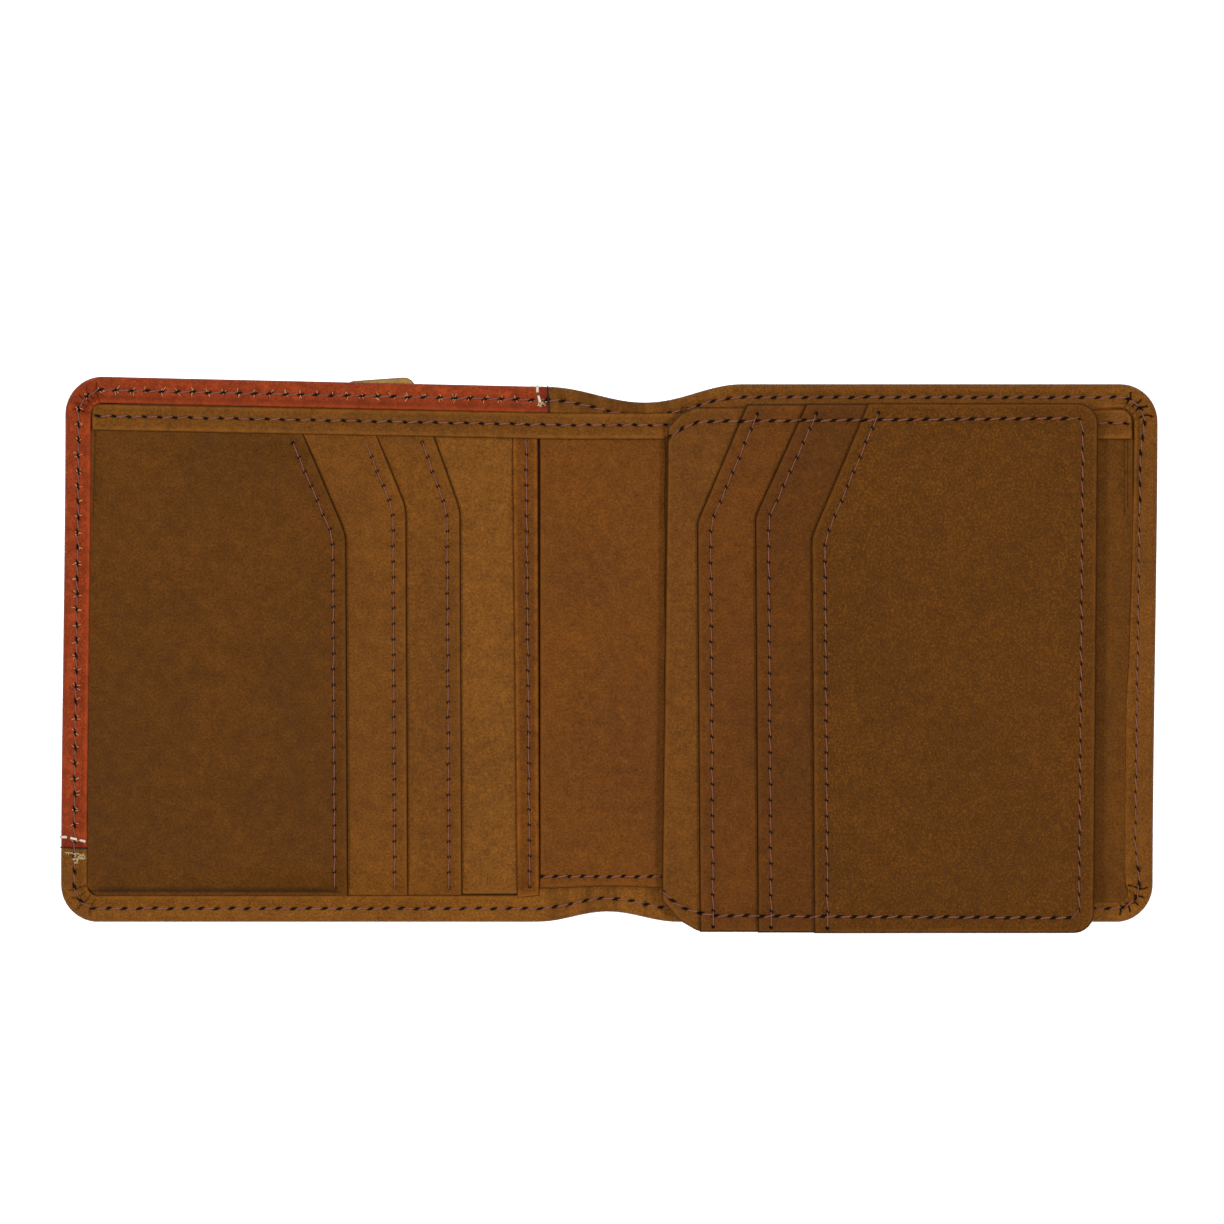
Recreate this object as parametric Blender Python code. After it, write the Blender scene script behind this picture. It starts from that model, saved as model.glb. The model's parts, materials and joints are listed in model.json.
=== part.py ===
"""Bifold wallet with a flip page of card slots, lying open on its back. Metres, +Z up.

+X runs across the open wallet from the front cover to the back cover, and +Y towards the mouth
of the note pocket. Two rigid halves are joined by a spine of soft leather, which bends along
four creases parallel to Y, and the flip page turns about a fifth line beside the spine.
"""

import math

import bmesh
import bpy
from mathutils import Vector

MM = 0.001

# Thicknesses, and the space between neighbouring layers
COVER = 1.0 * MM
TURNED_EDGE = 0.6 * MM
LEATHER = 0.5 * MM
BOARD = 0.4 * MM
PAGE_BOARD = 0.3 * MM
BINDING = 0.3 * MM
FABRIC = 0.2 * MM
GAP = 0.3 * MM
THREAD_RADIUS = 0.2 * MM
THREAD_CLEARANCE = 2 * THREAD_RADIUS + 2 * GAP

# The cover, seen from above
HALF_WIDTH = 101.5 * MM
COVER_TOP_LEFT = 51.4 * MM
COVER_TOP = 49.6 * MM
COVER_BOTTOM = -49.8 * MM
CORNER_RADIUS = 7.0 * MM
FLANGE_WIDTH = 5.0 * MM
RED_PANEL_BOTTOM = -36.1 * MM

# The brown band's lap under the red panel: how far it reaches up, and where it rises and starts below
LAP_REACH = 8.0 * MM
LAP_RISER = 2.0 * MM
LAP_ROOT = 4.0 * MM

# Where the spine's edge pulls in: centre, half width, depth
TOP_DIP = (6.5 * MM, 18.0 * MM, 2.0 * MM)
BOTTOM_DIP = (0.0, 14.0 * MM, 1.5 * MM)
DIP_STEPS = 8
CORNER_STEPS = 6

# Crease lines of the spine, from the back cover's side to the front cover's
CREASES = [10.05 * MM, 2.9 * MM, -4.25 * MM, -11.4 * MM]
FOLD_PER_CREASE = math.radians(45)
CREASE_GAP = 0.15 * MM
CREASE_HEIGHT = COVER / 2

# Interior panels
INTERIOR_HALF_WIDTH = HALF_WIDTH - FLANGE_WIDTH - GAP
INTERIOR_TOP = 44.6 * MM
INTERIOR_BOTTOM = -44.4 * MM
PANEL_TOP = 40.0 * MM
SPINE_EDGE = 13.2 * MM
TOP_BINDING_BOTTOM = PANEL_TOP + GAP
CENTRE_STRIP_BOTTOM = -43.6 * MM
EDGE_BINDING_WIDTH = 4.8 * MM

# Flip page
PAGE_LEFT = 10.8 * MM
PAGE_RIGHT = 90.0 * MM
PAGE_TOP = 45.9 * MM
PAGE_BOTTOM = -51.4 * MM
PAGE_CORNER_RADIUS = 3.8 * MM
PAGE_CHAMFER = (5.0 * MM, 3.8 * MM)
PAGE_FOOT_CHAMFER = (5.4 * MM, 7.0 * MM)
PAGE_HINGE_HEIGHT = 8.1 * MM
PAGE_HINGE_WIDTH = 1.2 * MM

# Each pocket's front edge: X at its top, X where the slant ends, Y where the slant ends
CARD_POCKETS = [
    (-56.3 * MM, -48.6 * MM, 22.0 * MM),
    (-42.8 * MM, -37.5 * MM, 27.0 * MM),
    (-32.3 * MM, -27.5 * MM, 26.5 * MM),
]
PAGE_SLOTS = [
    (25.4 * MM, 16.2 * MM, 24.2 * MM),
    (36.4 * MM, 26.9 * MM, 25.3 * MM),
    (47.8 * MM, 37.3 * MM, 21.5 * MM),
]
POCKET_OVERLAP = 9.0 * MM
SLOT_OVERLAP = 1.0 * MM
SEAM_INSET = 2.5 * MM
PANEL_SEAM_SHOWN = 1.5 * MM

# Small tan tab on the outside of the front cover, seen past its top edge
TAB_CENTRE = (-42.4 * MM, 46.35 * MM)
TAB_SIZE = (13.6 * MM, 9.0 * MM)
TAB_CORNER_RADIUS = 2.0 * MM
TAB_THICKNESS = 0.4 * MM
TAB_TURN = math.radians(4)

# Heights of the layers above the surface that the wallet lies on
BOARD_LOW = COVER + GAP
LINING_LOW = BOARD_LOW + BOARD + GAP
FLANGE_LOW = LINING_LOW + FABRIC + GAP
RIM_TOP = FLANGE_LOW + TURNED_EDGE
POCKET_BACK_LOW = FLANGE_LOW + GAP
BASE_LOW = RIM_TOP + GAP
FIRST_LAYER_LOW = BASE_LOW + LEATHER + GAP
LAYER_STEP = LEATHER + GAP
PAGE_BACK_LOW = FIRST_LAYER_LOW + BINDING + GAP
PAGE_BOARD_LOW = PAGE_BACK_LOW + LEATHER + GAP
PAGE_BASE_LOW = PAGE_BOARD_LOW + PAGE_BOARD + GAP

BROWN = (0.150, 0.056, 0.011)
DARK_BROWN = (0.112, 0.041, 0.008)
OLIVE_TAN = (0.190, 0.072, 0.014)
REDDISH_BROWN = (0.153, 0.050, 0.010)
ORANGE_RED = (0.275, 0.045, 0.015)
TAN = (0.420, 0.210, 0.070)
LINING_BROWN = (0.060, 0.030, 0.015)
BOARD_GREY = (0.300, 0.260, 0.200)
MAUVE = (0.180, 0.080, 0.070)
WHITE = (0.750, 0.720, 0.650)


def clear_scene():
    for item in list(bpy.data.objects):
        bpy.data.objects.remove(item)


def make_pivots():
    """One empty on each joint's axis, each held by the body before it. Returns {body: (empty, place)}."""
    pivots = {"right_half": (None, Vector((0, 0, 0)))}
    chain = ["right_half", "spine_a", "spine_b", "spine_c", "left_half"]
    lines = [(b, a, (x, 0, CREASE_HEIGHT)) for a, b, x in zip(chain, chain[1:], CREASES)]
    lines.append(("page", "right_half", (PAGE_LEFT, 0, PAGE_HINGE_HEIGHT)))
    for body, parent, place in lines:
        empty = bpy.data.objects.new("pivot_" + body, None)
        bpy.context.scene.collection.objects.link(empty)
        held_by, held_at = pivots[parent]
        empty.parent = held_by
        empty.location = Vector(place) - held_at
        pivots[body] = (empty, Vector(place))
    return pivots


def new_material(name, colour, roughness):
    material = bpy.data.materials.new(name)
    material.use_nodes = True
    shader = material.node_tree.nodes["Principled BSDF"]
    shader.inputs["Base Color"].default_value = (*colour, 1.0)
    shader.inputs["Roughness"].default_value = roughness
    shader.inputs["Metallic"].default_value = 0.0
    return material


def add_part(name, data, body, colour, roughness=0.6):
    """Link an object whose data is in world coordinates, held by its body's pivot."""
    part = bpy.data.objects.new(name, data)
    bpy.context.scene.collection.objects.link(part)
    empty, place = PIVOTS[body]
    part.parent = empty
    part.location = -place
    data.materials.append(new_material(name, colour, roughness))
    return part


def to_mesh(name, shape):
    bmesh.ops.recalc_face_normals(shape, faces=shape.faces)
    mesh = bpy.data.meshes.new(name)
    shape.to_mesh(mesh)
    shape.free()
    return mesh


# Flat outlines


def arc(centre, radius, start, turn, steps):
    """Points on an arc, both ends included, angles in degrees."""
    angles = [math.radians(start + turn * i / steps) for i in range(steps + 1)]
    return [(centre[0] + radius * math.cos(a), centre[1] + radius * math.sin(a)) for a in angles]


def box_outline(x_low, x_high, y_low, y_high):
    return [(x_low, y_low), (x_high, y_low), (x_high, y_high), (x_low, y_high)]


def dip(x, shape):
    """A raised cosine: 0 outside the dip, its depth in the middle."""
    centre, half_width, depth = shape
    along = abs(x - centre) / half_width
    return depth * (1 + math.cos(math.pi * along)) / 2 if along < 1 else 0.0


def dip_stations(shape):
    centre, half_width, _ = shape
    return [centre + half_width * (2 * i / DIP_STEPS - 1) for i in range(DIP_STEPS + 1)]


def cover_outline(inset):
    """The cover's edge moved inwards by inset, counter-clockwise from its bottom left corner."""
    radius = CORNER_RADIUS - inset
    x = HALF_WIDTH - CORNER_RADIUS
    bottom = COVER_BOTTOM + CORNER_RADIUS
    points = arc((-x, bottom), radius, 180, 90, CORNER_STEPS)
    points += [(s, COVER_BOTTOM + inset + dip(s, BOTTOM_DIP)) for s in dip_stations(BOTTOM_DIP)]
    points += arc((x, bottom), radius, 270, 90, CORNER_STEPS)
    points += arc((x, COVER_TOP - CORNER_RADIUS), radius, 0, 90, CORNER_STEPS)
    points += [(s, COVER_TOP - inset - dip(s, TOP_DIP)) for s in reversed(dip_stations(TOP_DIP))]
    points += arc((-x, COVER_TOP_LEFT - CORNER_RADIUS), radius, 90, 90, CORNER_STEPS)
    return points


def clip(points, axis, limit, side):
    """The part of an outline on one side of an axis-aligned line: +1 keeps what is above limit."""
    kept = []
    for here, there in zip(points, points[1:] + points[:1]):
        inside = side * (here[axis] - limit) >= 0
        if inside:
            kept.append(here)
        if inside != (side * (there[axis] - limit) >= 0):
            share = (limit - here[axis]) / (there[axis] - here[axis])
            kept.append(tuple(a + share * (b - a) for a, b in zip(here, there)))
    return kept


def page_outline(inset):
    """The flip page's edge moved inwards by inset: two cut corners at the hinge, two round ones."""
    left, right = PAGE_LEFT + inset, PAGE_RIGHT - inset
    bottom, top = PAGE_BOTTOM + inset, PAGE_TOP - inset
    radius = PAGE_CORNER_RADIUS - inset * 0.5
    points = [(left, bottom + PAGE_FOOT_CHAMFER[1]), (left + PAGE_FOOT_CHAMFER[0], bottom)]
    points += arc((right - radius, bottom + radius), radius, 270, 90, CORNER_STEPS)
    points += arc((right - radius, top - radius), radius, 0, 90, CORNER_STEPS)
    points += [(left + PAGE_CHAMFER[0], top), (left, top - PAGE_CHAMFER[1])]
    return points


# Solids


def ring(shape, points, height):
    return [shape.verts.new((x, y, height)) for x, y in points]


def join_rings(shape, low, high):
    count = len(low)
    for i in range(count):
        j = (i + 1) % count
        shape.faces.new((low[i], low[j], high[j], high[i]))


def plate(name, outline, low, thickness, body, colour, roughness=0.6):
    """A flat sheet with its lower face at height low."""
    shape = bmesh.new()
    rings = [ring(shape, outline, z) for z in (low, low + thickness)]
    join_rings(shape, *rings)
    for corners in rings:
        shape.faces.new(corners)
    return add_part(name, to_mesh(name, shape), body, colour, roughness)


def turned_shell():
    """The whole cover as one solid: outer leather whose edge is turned up and over all round."""
    shape = bmesh.new()
    profile = [
        (0.0, 0.0),
        (0.0, RIM_TOP),
        (FLANGE_WIDTH, RIM_TOP),
        (FLANGE_WIDTH, FLANGE_LOW),
        (COVER, FLANGE_LOW),
        (COVER, COVER),
    ]
    rings = [ring(shape, cover_outline(inset), z) for inset, z in profile]
    for low, high in zip(rings, rings[1:]):
        join_rings(shape, low, high)
    shape.faces.new(rings[0])
    shape.faces.new(rings[-1])
    bmesh.ops.recalc_face_normals(shape, faces=shape.faces)
    return shape


def cut_away(shape, point, direction):
    """Remove what lies beyond a plane on the side that direction points to, and close the cut."""
    everything = shape.verts[:] + shape.edges[:] + shape.faces[:]
    made = bmesh.ops.bisect_plane(
        shape, geom=everything, plane_co=point, plane_no=direction, clear_outer=True, dist=1e-8
    )
    rim = [item for item in made["geom_cut"] if isinstance(item, bmesh.types.BMEdge)]
    bmesh.ops.edgeloop_fill(shape, edges=rim)


def cut_at_crease(shape, crease, side):
    """Trim to one side of a crease (+1 keeps +X), sloped so that two neighbours can fold together."""
    slope = math.tan(FOLD_PER_CREASE / 2)
    point = Vector((crease + side * CREASE_GAP, 0, 0))
    cut_away(shape, point, Vector((-side, 0, slope)).normalized())


def join_solid(part, extra):
    """Boolean union with a helper solid, applied to the mesh."""
    union = part.modifiers.new("join", "BOOLEAN")
    union.operation = "UNION"
    union.solver = "EXACT"
    union.object = extra


def as_cutter(part):
    part.hide_render = True
    part.display_type = "WIRE"
    return part


def thread(name, route, body, colour=MAUVE):
    """A seam's thread as one round cord along its route of (x, y, z) points."""
    curve = bpy.data.curves.new(name, "CURVE")
    curve.dimensions = "3D"
    curve.bevel_depth = THREAD_RADIUS
    curve.bevel_resolution = 1
    curve.use_fill_caps = True
    spline = curve.splines.new("POLY")
    spline.points.add(len(route) - 1)
    for point, place in zip(spline.points, route):
        point.co = (*place, 1.0)
    return add_part(name, curve, body, colour, 0.7)


def lying_on(points, surface):
    """A flat route just above a surface."""
    height = surface + GAP + THREAD_RADIUS
    return [(x, y, height) for x, y in points]


# The cover and what is turned in under its edge


def make_cover():
    right = turned_shell()
    cut_at_crease(right, CREASES[0], 1)
    add_part("cover_back", to_mesh("cover_back", right), "right_half", BROWN)
    for letter, right_crease, left_crease in zip("abc", CREASES, CREASES[1:]):
        strip = turned_shell()
        cut_at_crease(strip, right_crease, -1)
        cut_at_crease(strip, left_crease, 1)
        name = "cover_spine_" + letter
        add_part(name, to_mesh(name, strip), "spine_" + letter, BROWN)
    make_red_panel()
    make_brown_band()


def make_red_panel():
    panel = turned_shell()
    cut_at_crease(panel, CREASES[3], -1)
    cut_away(panel, Vector((0, RED_PANEL_BOTTOM, 0)), Vector((0, -1, 0)))
    red = add_part("cover_front_red", to_mesh("cover_front_red", panel), "left_half", ORANGE_RED, 0.5)
    tab = tab_outline(0.0)
    plate("edge_tab", tab, 0.0, TAB_THICKNESS, "left_half", TAN)
    recess = tab_outline(GAP)
    height = TAB_THICKNESS + GAP
    cutter = as_cutter(plate("tab_recess", recess, -COVER, COVER + height, "left_half", TAN))
    cut = red.modifiers.new("tab_recess", "BOOLEAN")
    cut.operation = "DIFFERENCE"
    cut.solver = "EXACT"
    cut.object = cutter


def tab_outline(grow):
    """The tab's rounded rectangle, turned a little, made larger all round by grow."""
    radius = TAB_CORNER_RADIUS + grow
    x, y = (side / 2 - TAB_CORNER_RADIUS for side in TAB_SIZE)
    corners = [((x, -y), 270), ((x, y), 0), ((-x, y), 90), ((-x, -y), 180)]
    flat = [p for centre, start in corners for p in arc(centre, radius, start, 90, 4)]
    c, s = math.cos(TAB_TURN), math.sin(TAB_TURN)
    return [(TAB_CENTRE[0] + c * u - s * v, TAB_CENTRE[1] + s * u + c * v) for u, v in flat]


def make_brown_band():
    """The brown strip below the red panel, with the lap that the panel is sewn down to."""
    band = turned_shell()
    cut_at_crease(band, CREASES[3], -1)
    seam = RED_PANEL_BOTTOM - GAP
    cut_away(band, Vector((0, seam, 0)), Vector((0, 1, 0)))
    name = "cover_front_band"
    brown = add_part(name, to_mesh(name, band), "left_half", BROWN)
    riser = seam - LAP_RISER
    root = seam - LAP_ROOT
    profile = [
        (root, COVER / 2),
        (riser, COVER / 2),
        (riser, BOARD_LOW),
        (seam + LAP_REACH, BOARD_LOW),
        (seam + LAP_REACH, BOARD_LOW + BOARD),
        (root, BOARD_LOW + BOARD),
    ]
    lap = bmesh.new()
    ends = (-HALF_WIDTH + COVER + GAP, CREASES[3] - SEAM_INSET)
    rings = [[lap.verts.new((x, y, z)) for y, z in profile] for x in ends]
    join_rings(lap, *rings)
    for corners in rings:
        lap.faces.new(corners)
    join_solid(brown, as_cutter(add_part("band_lap", to_mesh("band_lap", lap), "left_half", BROWN)))


def make_inner_sheets():
    """Reinforcing boards and the note pocket's lining, inside the turned edge."""
    inside = cover_outline(COVER + GAP)
    front = clip(inside, 0, -SPINE_EDGE - GAP, -1)
    spine = clip(clip(inside, 0, -SPINE_EDGE, 1), 0, SPINE_EDGE - GAP, -1)
    back = clip(inside, 0, SPINE_EDGE, 1)
    above_lap = clip(front, 1, RED_PANEL_BOTTOM + LAP_REACH, 1)
    plate("stiffener_front", above_lap, BOARD_LOW, BOARD, "left_half", BOARD_GREY, 0.8)
    plate("stiffener_back", back, BOARD_LOW, BOARD, "right_half", BOARD_GREY, 0.8)
    plate("note_lining_front", front, LINING_LOW, FABRIC, "left_half", LINING_BROWN, 0.9)
    plate("note_lining_spine", spine, LINING_LOW, FABRIC, "spine_b", LINING_BROWN, 0.9)
    plate("note_lining_back", back, LINING_LOW, FABRIC, "right_half", LINING_BROWN, 0.9)


def rim_route(side):
    """The cover's edge seam over one half: side -1 is the front cover, +1 the back cover."""
    outline = cover_outline(SEAM_INSET)
    limit = SEAM_INSET + (CREASES[0] if side > 0 else -CREASES[3])
    half = [p for p in outline if p[0] * side > limit]
    low_end, high_end = [(side * limit, y) for y in spine_seam_heights(side * limit)]
    if side > 0:
        return [low_end] + half + [high_end]
    split = next(i for i, p in enumerate(half) if p[1] > 0)
    return [high_end] + half[split:] + half[:split] + [low_end]


def spine_seam_heights(x):
    """Y of the edge seam along the bottom and along the top, at one X in the spine."""
    return (COVER_BOTTOM + SEAM_INSET + dip(x, BOTTOM_DIP), COVER_TOP - SEAM_INSET - dip(x, TOP_DIP))


def make_rim_threads():
    thread("edge_seam_front", lying_on(rim_route(-1), RIM_TOP), "left_half")
    thread("edge_seam_back", lying_on(rim_route(1), RIM_TOP), "right_half")
    left = CREASES[3] - SEAM_INSET + THREAD_CLEARANCE
    right = CREASES[0] + SEAM_INSET - THREAD_CLEARANCE
    stations = [left + (right - left) * i / DIP_STEPS for i in range(DIP_STEPS + 1)]
    for name, edge in (("edge_seam_spine_bottom", 0), ("edge_seam_spine_top", 1)):
        route = [(x, spine_seam_heights(x)[edge]) for x in stations]
        thread(name, lying_on(route, RIM_TOP), "spine_b")
    side_y = RED_PANEL_BOTTOM + SEAM_INSET / 2
    outer_end = -HALF_WIDTH + 2 * THREAD_RADIUS
    side = [(outer_end, side_y), (outer_end + PANEL_SEAM_SHOWN, side_y)]
    thread("panel_seam_side", lying_on(side, RIM_TOP), "left_half", WHITE)
    top_x = CREASES[3] - SEAM_INSET
    outer_end = COVER_TOP - 2 * THREAD_RADIUS
    top = [(top_x, outer_end), (top_x, outer_end - PANEL_SEAM_SHOWN)]
    thread("panel_seam_top", lying_on(top, RIM_TOP), "left_half", WHITE)


# The interior of the front half: a base panel with three card pockets


def pocket_outline(edge, right, top, bottom):
    """A card pocket seen from above, from right to its slanted front edge."""
    top_x, side_x, turn_y = edge
    return [(right, bottom), (side_x, bottom), (side_x, turn_y), (top_x, top), (right, top)]


def pocket_seam(edge, inset, top, bottom):
    top_x, side_x, turn_y = edge
    return [(top_x + inset, top - SEAM_INSET), (side_x + inset, turn_y), (side_x + inset, bottom + SEAM_INSET)]


def make_front_interior():
    outer = -INTERIOR_HALF_WIDTH
    inner = -SPINE_EDGE
    whole = box_outline(outer, inner, INTERIOR_BOTTOM, INTERIOR_TOP)
    back = clip(cover_outline(FLANGE_WIDTH + GAP), 0, inner, -1)
    plate("pocket_back_front", back, POCKET_BACK_LOW, FABRIC, "left_half", LINING_BROWN, 0.9)
    plate("base_panel_front", whole, BASE_LOW, LEATHER, "left_half", OLIVE_TAN)
    lefts = [outer] + [edge[1] - POCKET_OVERLAP for edge in CARD_POCKETS[:-1]]
    for number, (edge, left) in enumerate(zip(CARD_POCKETS, lefts), 1):
        low = FIRST_LAYER_LOW + (len(CARD_POCKETS) - number) * LAYER_STEP
        outline = pocket_outline(edge, left, PANEL_TOP, INTERIOR_BOTTOM)[::-1]
        colour = DARK_BROWN if number == 1 else BROWN
        plate(f"card_pocket_{number}", outline, low, LEATHER, "left_half", colour)
        seam = pocket_seam(edge, -SEAM_INSET, PANEL_TOP, INTERIOR_BOTTOM)
        thread(f"card_pocket_seam_{number}", lying_on(seam, low + LEATHER), "left_half")
    strip_left = inner - EDGE_BINDING_WIDTH
    strip = box_outline(strip_left, inner, INTERIOR_BOTTOM, PANEL_TOP)
    plate("edge_binding_front", strip, FIRST_LAYER_LOW, LEATHER, "left_half", REDDISH_BROWN)
    middle = (strip_left + inner) / 2
    seam = [(middle, PANEL_TOP - SEAM_INSET), (middle, INTERIOR_BOTTOM + SEAM_INSET)]
    thread("edge_binding_seam", lying_on(seam, FIRST_LAYER_LOW + LEATHER), "left_half")


# The leather strip that crosses the spine inside, and the binding along the whole interior's top


def make_centre():
    left = -SPINE_EDGE + GAP
    right = SPINE_EDGE - GAP
    strip = box_outline(left, right, CENTRE_STRIP_BOTTOM, INTERIOR_TOP)
    plate("centre_strip", strip, BASE_LOW, LEATHER, "spine_b", REDDISH_BROWN)
    hem_y = CENTRE_STRIP_BOTTOM + SEAM_INSET
    hem = [(left + SEAM_INSET, hem_y), (PAGE_LEFT - SEAM_INSET, hem_y)]
    thread("centre_strip_seam", lying_on(hem, BASE_LOW + LEATHER), "spine_b")


def make_top_binding():
    outer = INTERIOR_HALF_WIDTH
    spans = [
        ("front", "left_half", -outer, -SPINE_EDGE),
        ("spine", "spine_b", -SPINE_EDGE + GAP, SPINE_EDGE - GAP),
        ("back", "right_half", SPINE_EDGE, outer),
    ]
    seam_y = (TOP_BINDING_BOTTOM + INTERIOR_TOP) / 2
    for name, body, left, right in spans:
        strip = box_outline(left, right, TOP_BINDING_BOTTOM, INTERIOR_TOP)
        plate("top_binding_" + name, strip, FIRST_LAYER_LOW, BINDING, body, OLIVE_TAN)
    seams = [
        ("front", "left_half", -outer + GAP, -SPINE_EDGE - GAP),
        ("spine", "spine_b", -SPINE_EDGE + 2 * GAP, PAGE_LEFT - SEAM_INSET),
        ("back", "right_half", PAGE_RIGHT + SEAM_INSET, outer - GAP),
    ]
    for name, body, left, right in seams:
        route = [(left, seam_y), (right, seam_y)]
        thread("top_binding_seam_" + name, lying_on(route, FIRST_LAYER_LOW + BINDING), body)


def make_back_interior():
    whole = box_outline(SPINE_EDGE, INTERIOR_HALF_WIDTH, INTERIOR_BOTTOM, INTERIOR_TOP)
    back = clip(cover_outline(FLANGE_WIDTH + GAP), 0, SPINE_EDGE, 1)
    plate("pocket_back_back", back, POCKET_BACK_LOW, FABRIC, "right_half", LINING_BROWN, 0.9)
    plate("base_panel_back", whole, BASE_LOW, LEATHER, "right_half", OLIVE_TAN)


# The flip page: a back leather, a board, a base leather and three card slots


def slot_sheet(edge, right_edge):
    """One slot's leather from its slanted front edge to right_edge, or to the page's own edge."""
    top_x, side_x, turn_y = edge
    front = [(top_x, PAGE_TOP), (side_x, turn_y), (side_x, PAGE_BOTTOM)]
    if right_edge is None:
        return page_outline(0.0)[2:-2] + front
    return [(right_edge, PAGE_BOTTOM), (right_edge, PAGE_TOP)] + front


def page_surface(x, edges):
    """Top of the page's leather at one X, where edges are the slots' X along the same line."""
    return PAGE_BASE_LOW + LEATHER + LAYER_STEP * sum(x > edge - SEAM_INSET / 2 for edge in edges)


def climbing_run(start, end, y, edges):
    """A seam along the page's top or bottom that climbs each slot's edge just before it."""
    stations = [start, end]
    for edge in edges:
        climb = edge - SEAM_INSET / 2
        stations += [climb - GAP, climb + GAP]
    stations = sorted((x for x in stations if start <= x <= end), reverse=end < start)
    lift = GAP + THREAD_RADIUS
    return [(x, y, page_surface(x, edges) + lift) for x in stations]


def make_page():
    outline = page_outline(0.0)
    plate("page_back", outline, PAGE_BACK_LOW, LEATHER, "page", BROWN)
    plate("page_board", page_outline(SEAM_INSET), PAGE_BOARD_LOW, PAGE_BOARD, "page", BOARD_GREY, 0.8)
    plate("page_base", outline, PAGE_BASE_LOW, LEATHER, "page", OLIVE_TAN)
    colours = (BROWN, REDDISH_BROWN, DARK_BROWN)
    right_edges = [edge[0] + SLOT_OVERLAP for edge in PAGE_SLOTS[1:]] + [None]
    for number, (edge, right_edge) in enumerate(zip(PAGE_SLOTS, right_edges), 1):
        low = PAGE_BASE_LOW + number * LAYER_STEP
        name = f"page_slot_{number}"
        plate(name, slot_sheet(edge, right_edge), low, LEATHER, "page", colours[number - 1])
        seam = pocket_seam(edge, SEAM_INSET, PAGE_TOP - SEAM_INSET, PAGE_BOTTOM + SEAM_INSET)
        thread(f"page_slot_seam_{number}", lying_on(seam, low + LEATHER), "page")
    make_page_seam()
    hinge_right = PAGE_LEFT - GAP
    hinge_bottom = PAGE_BOTTOM + PAGE_FOOT_CHAMFER[1]
    hinge = box_outline(hinge_right - PAGE_HINGE_WIDTH, hinge_right, hinge_bottom, PANEL_TOP)
    hinge_height = PAGE_BASE_LOW - FIRST_LAYER_LOW
    plate("page_hinge_strip", hinge, FIRST_LAYER_LOW, hinge_height, "page", DARK_BROWN)


def make_page_seam():
    """The thread round the page's three free edges."""
    left, right = PAGE_LEFT + SEAM_INSET, PAGE_RIGHT - SEAM_INSET
    bottom, top = PAGE_BOTTOM + SEAM_INSET, PAGE_TOP - SEAM_INSET
    radius = PAGE_CORNER_RADIUS - SEAM_INSET / 2
    base = PAGE_BASE_LOW + LEATHER + GAP + THREAD_RADIUS
    high = base + LAYER_STEP * len(PAGE_SLOTS)
    bottom_edges = [edge[1] for edge in PAGE_SLOTS]
    top_edges = [edge[0] for edge in PAGE_SLOTS]
    route = [(PAGE_LEFT + GAP, bottom + PAGE_FOOT_CHAMFER[1], base)]
    route += climbing_run(left, right - radius, bottom, bottom_edges)
    corners = arc((right - radius, bottom + radius), radius, 270, 90, CORNER_STEPS)
    corners += arc((right - radius, top - radius), radius, 0, 90, CORNER_STEPS)
    route += [(x, y, high) for x, y in corners[1:]]
    route += climbing_run(left + PAGE_CHAMFER[0], right - radius, top, top_edges)[-2::-1]
    route += [(PAGE_LEFT + GAP, top - PAGE_CHAMFER[1], base)]
    thread("page_edge_seam", route, "page")


clear_scene()
PIVOTS = make_pivots()
make_cover()
make_inner_sheets()
make_rim_threads()
make_front_interior()
make_back_interior()
make_centre()
make_top_binding()
make_page()
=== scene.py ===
"""Looks of the open bifold wallet. Lengths are in millimetres until a mesh is made, in the CAD frame."""

import copy
import json
import math
from collections import namedtuple

import bmesh
import bpy
import numpy as np
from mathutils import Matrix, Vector
from mathutils.geometry import delaunay_2d_cdt


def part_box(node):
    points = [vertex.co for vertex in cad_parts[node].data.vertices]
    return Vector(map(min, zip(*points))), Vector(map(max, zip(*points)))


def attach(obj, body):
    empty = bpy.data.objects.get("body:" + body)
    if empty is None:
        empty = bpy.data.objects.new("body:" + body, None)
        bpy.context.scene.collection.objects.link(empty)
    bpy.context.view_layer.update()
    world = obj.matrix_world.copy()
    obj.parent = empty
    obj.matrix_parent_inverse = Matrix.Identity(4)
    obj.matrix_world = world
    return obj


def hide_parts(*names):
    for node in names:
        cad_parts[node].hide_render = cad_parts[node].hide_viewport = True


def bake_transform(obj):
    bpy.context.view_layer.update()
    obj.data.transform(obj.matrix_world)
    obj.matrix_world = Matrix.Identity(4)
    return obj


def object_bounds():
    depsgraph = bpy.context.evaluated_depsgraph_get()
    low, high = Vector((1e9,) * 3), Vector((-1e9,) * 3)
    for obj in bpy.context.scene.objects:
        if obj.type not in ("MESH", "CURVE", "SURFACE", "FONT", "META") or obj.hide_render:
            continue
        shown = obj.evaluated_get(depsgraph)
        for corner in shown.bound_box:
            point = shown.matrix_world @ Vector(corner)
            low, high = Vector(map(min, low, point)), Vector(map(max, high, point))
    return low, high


MM = 0.001
FAR = 999.0

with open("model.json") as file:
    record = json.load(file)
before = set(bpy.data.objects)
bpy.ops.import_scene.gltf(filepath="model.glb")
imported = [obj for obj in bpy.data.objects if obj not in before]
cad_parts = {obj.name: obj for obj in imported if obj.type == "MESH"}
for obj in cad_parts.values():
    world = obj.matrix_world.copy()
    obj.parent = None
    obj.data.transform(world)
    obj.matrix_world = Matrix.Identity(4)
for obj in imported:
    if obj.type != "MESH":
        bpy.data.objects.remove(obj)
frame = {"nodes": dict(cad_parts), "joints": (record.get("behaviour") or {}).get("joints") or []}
cad_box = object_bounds()


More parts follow.
